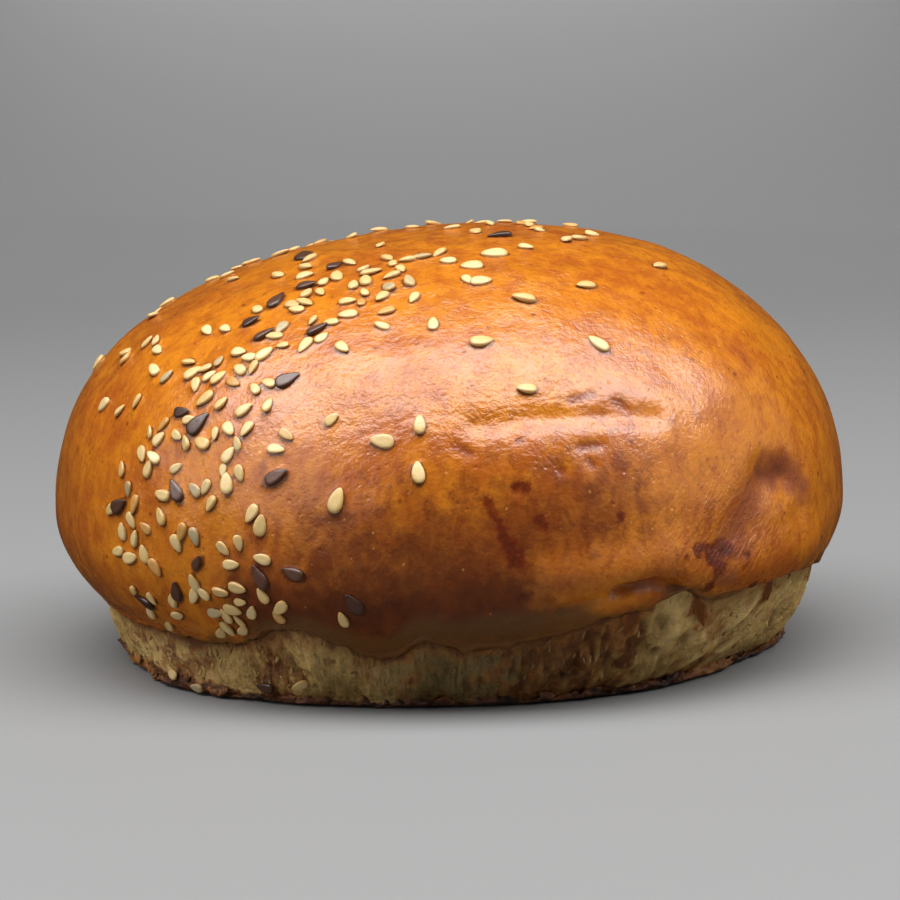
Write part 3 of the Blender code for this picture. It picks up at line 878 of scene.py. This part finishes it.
def strew():
    """Where each seed lies: kind, azimuth, climb, turn and size, angles in radians."""
    draw = random.Random(STREW_SEED)
    placed = [(FLAX, *angles) for angles in PLACED_FLAX] + [(SESAME, *angles) for angles in PLACED_SESAME]
    seeds = [(kind, *(math.radians(angle) for angle in angles)) for kind, *angles in placed]
    taken = [place(azimuth, *crust_outline(climb)) for _, azimuth, climb, _ in seeds]
    for azimuth, climb, spread, sesame_count, flax_count in SHAKES:
        for kind, count in ((FLAX, flax_count), (SESAME, sesame_count)):
            landed = 0
            while landed < count:
                seed_climb = math.radians(climb) + draw.gauss(0, spread) / (ROLL_HEIGHT - WIDEST_HEIGHT)
                radius, _ = crust_outline(seed_climb)
                seed_azimuth = math.radians(azimuth) + draw.gauss(0, spread) / max(radius, 2 * spread)
                if seed_climb > math.pi / 2:
                    seed_climb, seed_azimuth = math.pi - seed_climb, seed_azimuth + math.pi
                point = place(seed_azimuth, *crust_outline(seed_climb))
                above_lip = point[2] - lip_height(seed_azimuth) - SEED_SPACING
                if above_lip > 0 and all(np.linalg.norm(point - other) > SEED_SPACING for other in taken):
                    seeds.append((kind, seed_azimuth, seed_climb, draw.uniform(0, math.tau)))
                    taken.append(point)
                    landed += 1
    sizes = [1 if seed < len(placed) else SHAKEN_SIZE for seed in range(len(seeds))]
    return [(*seed, size * (1 + draw.gauss(0, SEED_SIZE_SPREAD))) for seed, size in zip(seeds, sizes)]


def seat_all(crust, crumb):
    """Each seed's kind, frame and size."""
    crust_skin, crumb_skin = skin_of(crust), skin_of(crumb)
    seats = []
    for kind, azimuth, climb, turn, size in strew():
        seats.append((kind, seat(crust_skin, place(azimuth, *crust_outline(climb)), azimuth, turn), size))
    for kind, strays in ((SESAME, STRAY_SESAME), (FLAX, STRAY_FLAX)):
        for azimuth, height, turn in strays:
            angle = math.radians(azimuth)
            near = place(angle, FOOT_RADIUS + swells(angle, FOOT_BULGES) + STRAY_REACH, height)
            seats.append((kind, seat(crumb_skin, near, angle, math.radians(turn)), STRAY_SIZE))
    return seats


def add_collars(crust, seats):
    """Draws the glaze up round each seed and marks it as a tone: a dark ring set a little below the seed,
    partly painted shadow.
    """
    mesh = crust.data
    points = np.empty(3 * len(mesh.vertices), np.float32)
    mesh.vertices.foreach_get("co", points)
    points = points.reshape(-1, 3).astype(float)
    collar_and_shadow = np.zeros(len(points))
    lift = np.zeros_like(points)
    for (length, width, _), frame_of_seed, size in seats:
        away = points - np.array(frame_of_seed.translation) + np.array((0, 0, COLLAR_SAG_AND_SHADOW))
        close = np.sum(away * away, axis=1) < length * length
        x, y, _ = (away[close] @ np.array(frame_of_seed.to_3x3())).T
        edge = np.hypot(x / (length * size / 2), y / (width * size / 2)) - 1
        held = np.exp(-((np.maximum(edge, 0) / COLLAR_REACH) ** 2))
        collar_and_shadow[close] = np.maximum(collar_and_shadow[close], held)
        lift[close] += COLLAR_RISE * held[:, None] * np.array(frame_of_seed.to_3x3())[:, 2]
    mesh.vertices.foreach_set("co", (points + lift).astype(np.float32).ravel())
    layer = mesh.attributes.new("collar_and_shadow", "FLOAT", "POINT")
    layer.data.foreach_set("value", collar_and_shadow.astype(np.float32))
    mesh.update()


def drop(kind, sides, rings, point, draw):
    """The faces and points of one seed: a flat drop, pointed at one end, with a raised rim and its faults."""
    faces, around, ring = ball_grid(sides, rings)
    from_tip = ring / rings * math.pi
    along = np.cos(from_tip)
    girth = 0.96 * np.sin(from_tip) ** 0.9 * (1 - point * along)
    bend = draw.uniform(-SEED_BEND, SEED_BEND)
    across = np.sin(around) * girth * (1 + draw.uniform(*SEED_BREADTHS)) + bend * along**2
    flat = np.sign(np.cos(around)) * np.abs(np.cos(around)) ** 0.6
    sunken = SEED_SUNK * np.exp(-((np.sin(around) / 0.6) ** 2) - (along / 0.75) ** 2)
    over = flat * girth * (1 - sunken) * (1 + draw.uniform(*SEED_THICKNESSES))
    length, width, thickness = kind
    tip = (along + SEED_TIP * point * np.maximum(along, 0) ** 5) / (1 + SEED_TIP * point / 2)
    return faces, np.stack([tip * length, across * width, over * thickness], axis=-1) / 2


def make_seeds(name, kind, sides, rings, point, seats, material):
    """All the seeds of one kind, as one piece."""
    draw = random.Random(name)
    seeds = []
    for seed_kind, frame_of_seed, size in seats:
        if seed_kind is not kind:
            continue
        faces, points = drop(kind, sides, rings, point, draw)
        edge = np.hypot(points[:, 0] / kind[0], points[:, 1] / kind[1]) * 2
        roll = Matrix.Rotation(draw.gauss(0, SEED_ROLL), 4, "X")
        pitch = Matrix.Rotation(draw.gauss(0, SEED_PITCH), 4, "Y")
        lift = Matrix.Translation((0, 0, (SEED_STANDS_OUT + draw.uniform(*SEED_LIFTS)) * kind[2]))
        settled = np.array(frame_of_seed @ lift @ roll @ pitch @ Matrix.Scale(size, 4))
        points = points @ settled[:3, :3].T + settled[:3, 3]
        seeds.append((faces, points, {"tint": draw.random(), "ripe": draw.random(), "edge": edge}))
    finish_scraps(name, seeds, material)


# Finishes

def socket_name(words):
    """A shader socket's name, from its words as they are written here."""
    return words.replace("_", " ").title().replace("Ior", "IOR")


class Wire:
    """A number that changes over a surface: + - * and ** on it add the Math nodes that work it out."""

    def __init__(self, finish, socket):
        self.finish, self.socket = finish, socket

    def worked_out(self, operation, *values):
        return self.finish.node("ShaderNodeMath", {"operation": operation}, dict(enumerate(values)))

    def __add__(self, other):
        return self.worked_out("ADD", self, other)

    __radd__ = __add__

    def __sub__(self, other):
        return self.worked_out("SUBTRACT", self, other)

    def __rsub__(self, other):
        return self.worked_out("SUBTRACT", other, self)

    def __mul__(self, other):
        return self.worked_out("MULTIPLY", self, other)

    __rmul__ = __mul__

    def __pow__(self, other):
        return self.worked_out("POWER", self, other)

    def ramp(self, low, high):
        """0 below low, 1 above high, and smooth between; low above high turns it over."""
        if low > high:
            return 1 - self.ramp(high, low)
        sockets = {"Value": self, "From Min": low, "From Max": high}
        return self.finish.node("ShaderNodeMapRange", {"interpolation_type": "SMOOTHSTEP"}, sockets)

    def frayed(self, noise, fray, low, high):
        """The same ramp, with its edge broken up by a noise."""
        return (self + (noise - 0.5) * fray).ramp(low, high)


class Finish:
    """A material in the making: its shader, its colour so far, and one way to add the other nodes."""

    def __init__(self, name, ground, **constants):
        self.material = bpy.data.materials.new(name)
        self.material.use_nodes = True
        self.tree = self.material.node_tree
        self.shader = self.tree.nodes["Principled BSDF"]
        self.colour = (*ground, 1)
        for words, value in {"base_color": self.colour, **constants}.items():
            self.shader.inputs[socket_name(words)].default_value = value
        self.place = self.node("ShaderNodeTexCoord", out="Object")

    def node(self, kind, settings=None, sockets=None, out=0):
        """Adds a node, sets it up, gives its sockets values or wires, and returns one of its outputs."""
        made = self.tree.nodes.new(kind)
        for words, value in (settings or {}).items():
            setattr(made, words, value)
        for socket, value in (sockets or {}).items():
            if isinstance(value, Wire):
                self.tree.links.new(value.socket, made.inputs[socket])
            else:
                made.inputs[socket].default_value = value
        return Wire(self, made.outputs[out])

    def tones(self, *names):
        """Tones that the mesh carries at its points."""
        return [self.node("ShaderNodeAttribute", {"attribute_name": name}, out="Fac") for name in names]

    def stretched(self, x, y, z, turn=(0, 0, 0)):
        """The place on the roll with noise drawn out by these factors along its axes, turned first."""
        sockets = {"Vector": self.place, "Rotation": turn, "Scale": (x, y, z)}
        return self.node("ShaderNodeMapping", {"vector_type": "TEXTURE"}, sockets)

    def grain(self, size, detail, rough, warp=0.0, where=None):
        """Noise from about 0 to 1, with features about as large as size."""
        sockets = {"Vector": where or self.place, "Scale": 1 / size, "Detail": detail}
        return self.node("ShaderNodeTexNoise", sockets={**sockets, "Roughness": rough, "Distortion": warp})

    def dots(self, spacing, radius, share):
        """Small round dots, 1 in the middle of each and 0 between; a share of the cells have one."""
        sockets = {"Vector": self.place, "Scale": 1 / spacing}
        distance = self.node("ShaderNodeTexVoronoi", sockets=sockets, out="Distance")
        colour = self.node("ShaderNodeTexVoronoi", sockets=sockets, out="Color")
        chance = self.node("ShaderNodeSeparateColor", sockets={0: colour})
        return distance.ramp(radius / spacing, 0.3 * radius / spacing) * chance.ramp(1 - share, 1.001 - share)

    def paint(self, mask, colour):
        """Lays a colour over the one so far, where the mask is 1."""
        sockets = {0: mask, 6: self.colour, 7: (*colour, 1)}
        self.colour = self.node("ShaderNodeMix", {"data_type": "RGBA"}, sockets, out=2)

    def bump(self, height, depth):
        """The direction of a surface that stands out by a height times a depth in metres."""
        return self.node("ShaderNodeBump", sockets={"Strength": 1.0, "Distance": depth, "Height": height})

    def feed(self, **wires):
        """Links the colour and other wires to the shader and returns the finished material."""
        for words, wire in {"base_color": self.colour, **wires}.items():
            self.tree.links.new(wire.socket, self.shader.inputs[socket_name(words)])
        return self.material


BRUSHED_TURN = (0.0, -0.8, 0.7)  # turns X to run up to the right over the right front of the crust

# Depth of the finest relief of each finish
LEATHER_DEPTH = 0.2 * MM
CRUMB_DEPTH = 0.35 * MM
CRISP_DEPTH = 0.5 * MM
SEED_DEPTH = 0.05 * MM


def glazed_crust():
    """Egg-washed crust: amber with darker clouds and runs, fine pores, leathery wrinkles and a soft gloss,
    with painted shade low on the front, in its hollows, dents and wrinkle lines, under the lip and round the
    seeds.
    """
    golden, amber, fleck = (0.53, 0.170, 0.007), (0.35, 0.083, 0.007), (0.60, 0.31, 0.08)
    chestnut, russet, maroon = (0.16, 0.032, 0.003), (0.20, 0.034, 0.002), (0.125, 0.014, 0.001)
    sienna, mahogany, burnt = (0.17, 0.026, 0.002), (0.11, 0.016, 0.001), (0.065, 0.013, 0.002)
    dull, lip_shade_umber, syrup_and_shadow = (0.135, 0.052, 0.007), (0.05, 0.014, 0.004), (0.085, 0.018, 0.005)
    crust = Finish("glazed_crust", amber, coat_roughness=0.3, specular_ior_level=0.55, subsurface_weight=0.04,
                   subsurface_radius=(0.003, 0.001, 0.0004), subsurface_scale=0.5)
    wrinkled, brushed, blotched_and_shaded, toast_and_shade = crust.tones("wrinkled", "brushed", "blotched_and_shaded", "toast_and_shade")
    shaded_hollow, shaded_dent, caramel = crust.tones("pressed_and_shaded", "dented_and_shaded", "caramel")
    skirt, lip, collar_and_shadow, glaze = crust.tones("skirt", "lip", "collar_and_shadow", "glaze")
    cloud = crust.grain(14 * MM, 3, 0.5)
    mottle = crust.grain(2.6 * MM, 4, 0.6, 0.4, crust.stretched(1, 1, 1.8))
    streak = crust.grain(2.4 * MM, 4, 0.65, 0.6, crust.stretched(1, 1, 1.4))
    speckle = crust.grain(0.9 * MM, 3, 0.65)
    scratch = crust.grain(1.0 * MM, 3, 0.6, 0.6, crust.stretched(3, 1, 1, BRUSHED_TURN))
    crinkle = crust.grain(3.0 * MM, 3, 0.55, 1.4, crust.stretched(1.9, 1.3, 0.8))
    shaded_crack = ((crinkle - 0.5) ** 2).ramp(0.004, 0.0) * wrinkled
    pressed_and_shaded = shaded_hollow.frayed(mottle, 0.5, 0.1, 0.8)

    # Clouds and streaks of the glaze, the streaks darker over the front partly as painted shade
    crust.paint((cloud * 0.7 + mottle * 0.8 - 0.25).ramp(0.3, 0.7), golden)
    crust.paint(streak.ramp(0.5, 0.72) * (blotched_and_shaded * 0.3 + 0.32), chestnut)
    # Painted shade in the wrinkle lines
    crust.paint(shaded_crack * 0.07, chestnut)
    crust.paint((streak + blotched_and_shaded * 0.1).ramp(0.54, 0.72) * (blotched_and_shaded * 0.45), chestnut)
    crust.paint(speckle.ramp(0.54, 0.74) * 0.4, chestnut)
    crust.paint(speckle.ramp(0.44, 0.30) * 0.3, golden)

    # Toasted stretches, partly painted shade low on the front, then blisters, flecks and brush marks
    crust.paint((toast_and_shade * 1.1).frayed(streak, toast_and_shade * 1.2, 0.1, 0.9) * 0.9, chestnut)
    crust.paint((toast_and_shade * 1.1).frayed(mottle, 1.0, 0.6, 1.3) * 0.7, burnt)
    crust.paint(crust.dots(1.5 * MM, 0.3 * MM, 0.4) * 0.5, chestnut)
    crust.paint(crust.dots(3.1 * MM, 0.55 * MM, 0.3) * 0.7, maroon)
    crust.paint(crust.dots(1.9 * MM, 0.27 * MM, 0.35) * 0.5, fleck)
    crust.paint(scratch.ramp(0.52, 0.66) * brushed * 0.3, chestnut)
    crust.paint(scratch.ramp(0.46, 0.36) * brushed * 0.1, fleck)

    # Hollows and dents, partly painted shade in them, and caramel
    crust.paint(pressed_and_shaded * 0.8, russet)
    crust.paint(shaded_hollow.frayed(mottle, 0.8, 0.7, 1.3) * 0.75, mahogany)
    # Partly painted shade: the dents are coloured darker red brown
    crust.paint(shaded_dent.frayed(mottle, 0.9, 0.3, 1.0) * 0.8, sienna)
    crust.paint((caramel + speckle - 0.5).frayed(mottle, 1.8, 0.25, 0.8) * 0.9, maroon)
    crust.paint(caramel.frayed(streak, 1.5, 0.65, 1.1) * 0.55, burnt)

    # The dull stretch above the lip, the lip itself with painted shade under its overhang, and the glaze that
    # holds the seeds, darker below each seed as painted shadow
    crust.paint(skirt.frayed(mottle, 0.6, 0.1, 1.0) * 0.88, dull)
    crust.paint(lip.frayed(mottle, 0.6, 0.2, 1.0) * 0.8, lip_shade_umber)
    crust.paint(collar_and_shadow.ramp(0.3, 0.95) * 0.75, syrup_and_shadow)

    leather = crust.grain(1.4 * MM, 4, 0.6, 0.5, crust.stretched(1.3, 1.2, 0.9))
    peel = crust.grain(0.7 * MM, 3, 0.6)
    pits = crust.dots(1.3 * MM, 0.35 * MM, 0.25)
    height = leather * (wrinkled * 1.6 + 0.25) + peel * (wrinkled * 0.8 + 0.5) + scratch * brushed * 1.9
    height = height - shaded_crack * 0.12 - pits * 0.25 - shaded_dent * 0.4
    return crust.feed(
        roughness=0.14 + mottle * 0.12 + skirt * 0.18 + toast_and_shade * 0.12 + pressed_and_shaded * 0.38,
        coat_weight=glaze * (0.28 - pressed_and_shaded * 0.22),
        normal=crust.bump(height, LEATHER_DEPTH),
    )


def torn_crumb():
    """Torn crumb: pale, moist and fluffy, browned in patches and towards the crust, crisp at its foot, with
    painted shade over the front of the band, in its valleys, hollows and gaps, and at the very foot.
    """
    pale, cream, butter = (0.34, 0.205, 0.058), (0.57, 0.38, 0.130), (0.60, 0.42, 0.16)
    tan, honey, shade_olive = (0.16, 0.075, 0.018), (0.28, 0.11, 0.02), (0.090, 0.061, 0.021)
    amber, chestnut = (0.34, 0.14, 0.03), (0.17, 0.05, 0.009)
    brown, shade_dark = (0.11, 0.034, 0.008), (0.030, 0.010, 0.004)
    crumb = Finish("torn_crumb", pale, specular_ior_level=0.4, subsurface_weight=0.5,
                   subsurface_radius=(0.003, 0.002, 0.001), subsurface_scale=0.4)
    shaded_valley, shaded_hollow, drawn, band_shade, gap = crumb.tones("shaded_valley", "shaded_hollow", "drawn", "band_shade", "gap")
    browned, shade, shred, crisp = crumb.tones("browned", "shade", "shred", "crisp")
    cloud = crumb.grain(4.2 * MM, 3, 0.55)
    fluff = crumb.grain(0.9 * MM, 4, 0.65, 0.3)
    web = crumb.grain(1.6 * MM, 4, 0.6, 0.8, crumb.stretched(1, 1, 2.0))
    shaded_holes = crumb.dots(1.1 * MM, 0.26 * MM, 0.4)
    fuzz = crumb.grain(0.45 * MM, 4, 0.7)

    # The pale crumb, with painted shade in its valleys, hollows and holes
    crumb.paint((cloud * 0.6 + fluff * 0.5 + fuzz * 0.4 - 0.2).ramp(0.35, 0.75), cream)
    crumb.paint(shaded_valley.frayed(web, 1.0, 0.2, 1.0) * 0.6, tan)
    crumb.paint(shaded_hollow.frayed(fluff, 0.6, 0.2, 1.0) * 0.65, tan)
    crumb.paint(shaded_holes * 0.5, tan)
    crumb.paint(drawn.frayed(web, 0.6, 0.2, 0.9) * 0.6, butter)
    crumb.paint((web * 0.6 + cloud * 0.5).ramp(0.55, 0.8) * 0.4, honey)

    # Painted shade over the front of the band and in the gaps where it is pulled apart, and where it browned
    crumb.paint(band_shade * (0.55 + fluff * 0.4), shade_olive)
    # Painted shade in the gaps between the pulled loops
    crumb.paint(gap.frayed(fluff, 0.6, 0.1, 0.7) * 0.8, brown)
    crumb.paint(gap.frayed(web, 0.8, 0.6, 1.1) * 0.8, shade_dark)
    crumb.paint((browned + (cloud - 0.5) * 0.9).frayed(web, 0.5, 0.05, 0.6) * 0.8, honey)
    crumb.paint((browned + (fluff - 0.5) * 0.5).frayed(web, 0.6, 0.3, 1.15) * 0.85, brown)

    # Under the lip, on the shreds and towards the foot, where the crisp crumb is darkest at the very bottom,
    # partly as painted shade at the floor
    crumb.paint(shade.frayed(cloud, 1.0, 0.15, 0.8) * 0.6, honey)
    crumb.paint(shade.frayed(web, 0.6, 0.6, 1.05) * 0.8, brown)
    crumb.paint(shred.frayed(fluff, 0.6, 0.1, 0.5), amber)
    crumb.paint(shred.frayed(web, 0.9, 0.35, 0.9) * 0.85, chestnut)
    crumb.paint(crisp.frayed(cloud, 0.9, 0.1, 0.5) * 0.9, honey)
    crumb.paint(crisp.frayed(web, 0.6, 0.35, 0.9) * 0.9, brown)
    crumb.paint(crisp.frayed(cloud, 1.2, 0.75, 1.2) * 0.8, shade_dark)
    height = fluff * 0.8 + fuzz * 0.7 + web * 0.6 - shaded_holes * 0.5
    return crumb.feed(roughness=0.36 + web * 0.2, normal=crumb.bump(height, CRUMB_DEPTH))


def crisp_crust():
    """Crisp bottom crust and its flakes: brown, orange brown at the thin edges, nearly black in places and
    low down, partly as painted shade at the floor.
    """
    burnt_and_shaded, brown = (0.035, 0.011, 0.003), (0.13, 0.038, 0.008)
    rust, orange = (0.33, 0.115, 0.020), (0.42, 0.17, 0.035)
    crisp = Finish("crisp_crust", burnt_and_shaded, specular_ior_level=0.45)
    tint, edge, gold = crisp.tones("tint", "edge", "gold")
    fine = crisp.grain(1.0 * MM, 4, 0.7, 0.5)
    crisp.paint((tint + gold * 0.5).frayed(fine, 0.8, 0.2, 0.9), brown)
    crisp.paint((edge + tint * 0.4 + gold * 0.3 - 0.5).frayed(fine, 0.7, 0.2, 0.95), rust)
    crisp.paint(gold.frayed(fine, 1.4, 0.4, 1.1) * 0.7, orange)
    return crisp.feed(roughness=0.4 + fine * 0.25, normal=crisp.bump(fine, CRISP_DEPTH))


def hulled_sesame():
    """Hulled sesame: cream to toasted gold, satin, darker towards the crust."""
    cream, straw, grey = (0.64, 0.48, 0.23), (0.56, 0.38, 0.14), (0.30, 0.25, 0.15)
    toasted, rim = (0.46, 0.19, 0.025), (0.50, 0.25, 0.045)
    seed = Finish("hulled_sesame", cream, specular_ior_level=0.5, coat_weight=0.3, coat_roughness=0.25,
                  subsurface_weight=0.15, subsurface_radius=(0.001, 0.0007, 0.0004), subsurface_scale=0.5)
    tint, ripe, edge = seed.tones("tint", "ripe", "edge")
    fine = seed.grain(0.4 * MM, 3, 0.6)
    seed.paint(tint, straw)
    seed.paint(ripe.ramp(0.86, 0.97) * 0.8, toasted)
    seed.paint(ripe.ramp(0.05, 0.02) * 0.8, grey)
    seed.paint(edge.frayed(fine, 0.5, 0.55, 1.1) * 0.55, rim)
    return seed.feed(roughness=0.34 + fine * 0.15, normal=seed.bump(fine, SEED_DEPTH))


def brown_flax():
    """Brown flax: dark and glossy, redder in some seeds and at the edges."""
    brown, reddish, rim = (0.045, 0.018, 0.010), (0.11, 0.048, 0.028), (0.030, 0.010, 0.006)
    seed = Finish("brown_flax", brown, specular_ior_level=0.5, coat_weight=0.25, coat_roughness=0.15)
    tint, edge = seed.tones("tint", "edge")
    fine = seed.grain(0.4 * MM, 3, 0.6)
    seed.paint(tint, reddish)
    seed.paint(edge.frayed(fine, 0.5, 0.6, 1.1) * 0.7, rim)
    return seed.feed(roughness=0.28 + fine * 0.15, normal=seed.bump(fine, SEED_DEPTH))


# Floor, light and camera

CAMERA_DISTANCE = 0.5
CAMERA_ELEVATION = math.radians(8.5)
CAMERA_ROLL = 0.0215
CAMERA_AIM = Vector((0.0003, 0, 28.5 * MM))
CAMERA_LENS = 135.8
SENSOR = 36

FLOOR_REACH = 0.45
FLOOR_GREY = (0.2, 0.2, 0.2)
FLOOR_SIDES = 96
WALL_BEND = 1.3
WALL_HEIGHT = 2.0
WALL_STEPS = 32

# Soft boxes: name, where it stands, what it faces, width, depth, power, and whether glossy surfaces mirror it
LIGHTS = (
    ("overhead_box", (0.1, -0.17, 0.75), (0.1, -0.1, 0.03), 1.8, 0.5, 21.5, True),
    ("left_box", (-0.72, -0.42, 0.42), (0, 0, 0.02), 0.9, 0.6, 2.6, True),
    ("right_box", (0.86, -0.14, 0.42), (0, 0, 0.02), 1.1, 0.8, 1.5, True),
    ("back_fill", (0, 0.9, 0.3), (0, 0, 0.02), 0.4, 0.4, 1.5, False),
)
SURROUND = (0.5, 0.5, 0.5, 1)
SURROUND_STRENGTH = 0.04


def make_floor():
    """A pale floor that curves up into a plain wall all round. It stays out of the roll's gloss."""
    floor = Finish("pale_floor", FLOOR_GREY, roughness=0.7)
    bends = [step * math.pi / 2 / WALL_STEPS for step in range(WALL_STEPS + 1)]
    curve = [(FLOOR_REACH + WALL_BEND * math.sin(bend), WALL_BEND * (1 - math.cos(bend))) for bend in bends]
    sweep = bmesh.new()
    corners = [sweep.verts.new((out, 0, up)) for out, up in ((0, 0), *curve, (curve[-1][0], WALL_HEIGHT))]
    edges = [sweep.edges.new(pair) for pair in zip(corners, corners[1:])]
    bmesh.ops.spin(
        sweep, geom=corners + edges, cent=(0, 0, 0), axis=(0, 0, 1), angle=math.tau, steps=FLOOR_SIDES
    )
    bmesh.ops.remove_doubles(sweep, verts=sweep.verts, dist=STEP)
    mesh = bpy.data.meshes.new("floor")
    sweep.to_mesh(mesh)
    sweep.free()
    mesh.shade_smooth()
    mesh.materials.append(floor.material)
    piece = bpy.data.objects.new("floor", mesh)
    piece.visible_glossy = False
    bpy.context.scene.collection.objects.link(piece)


def add_light(name, stand, aim, width, depth, power, mirrored):
    """A soft box that faces a point, and that glossy surfaces mirror or not."""
    light = bpy.data.lights.new(name, "AREA")
    light.shape, light.size, light.size_y = "RECTANGLE", width, depth
    light.energy = power
    lamp = bpy.data.objects.new(name, light)
    lamp.location = stand
    lamp.rotation_euler = (Vector(aim) - Vector(stand)).to_track_quat("-Z", "Y").to_euler()
    lamp.visible_glossy = mirrored
    bpy.context.scene.collection.objects.link(lamp)


def light_studio():
    """A large soft box overhead, weak fills at the sides and back, and a little light from all round."""
    for light in LIGHTS:
        add_light(*light)
    world = bpy.data.worlds.new("studio")
    world.use_nodes = True
    background = world.node_tree.nodes["Background"]
    background.inputs["Color"].default_value = SURROUND
    background.inputs["Strength"].default_value = SURROUND_STRENGTH
    bpy.context.scene.world = world


def set_camera():
    """A long lens low in front of the roll, level with its middle and tipped a little."""
    camera = bpy.data.cameras.new("camera")
    camera.lens, camera.sensor_width = CAMERA_LENS, SENSOR
    stand = bpy.data.objects.new("camera", camera)
    back = Vector((0, -math.cos(CAMERA_ELEVATION), math.sin(CAMERA_ELEVATION)))
    stand.location = CAMERA_AIM + CAMERA_DISTANCE * back
    facing = back.to_track_quat("Z", "Y").to_matrix() @ Matrix.Rotation(-CAMERA_ROLL, 3, "Z")
    stand.rotation_euler = facing.to_euler()
    bpy.context.scene.collection.objects.link(stand)
    bpy.context.scene.camera = stand


def main():
    bpy.context.scene.view_settings.view_transform = "Standard"
    glazed, torn, crisp = glazed_crust(), torn_crumb(), crisp_crust()
    crust = make_crust(glazed)
    crumb = make_crumb(torn)
    make_tufts(crumb, torn)
    seats = seat_all(crust, crumb)
    add_collars(crust, seats)
    make_shreds(glazed)
    make_foot(crisp)
    make_flakes(crisp)
    make_seeds("sesame", SESAME, SESAME_SIDES, SESAME_RINGS, SESAME_POINT, seats, hulled_sesame())
    make_seeds("flax", FLAX, FLAX_SIDES, FLAX_RINGS, FLAX_POINT, seats, brown_flax())
    make_floor()
    light_studio()
    set_camera()


main()
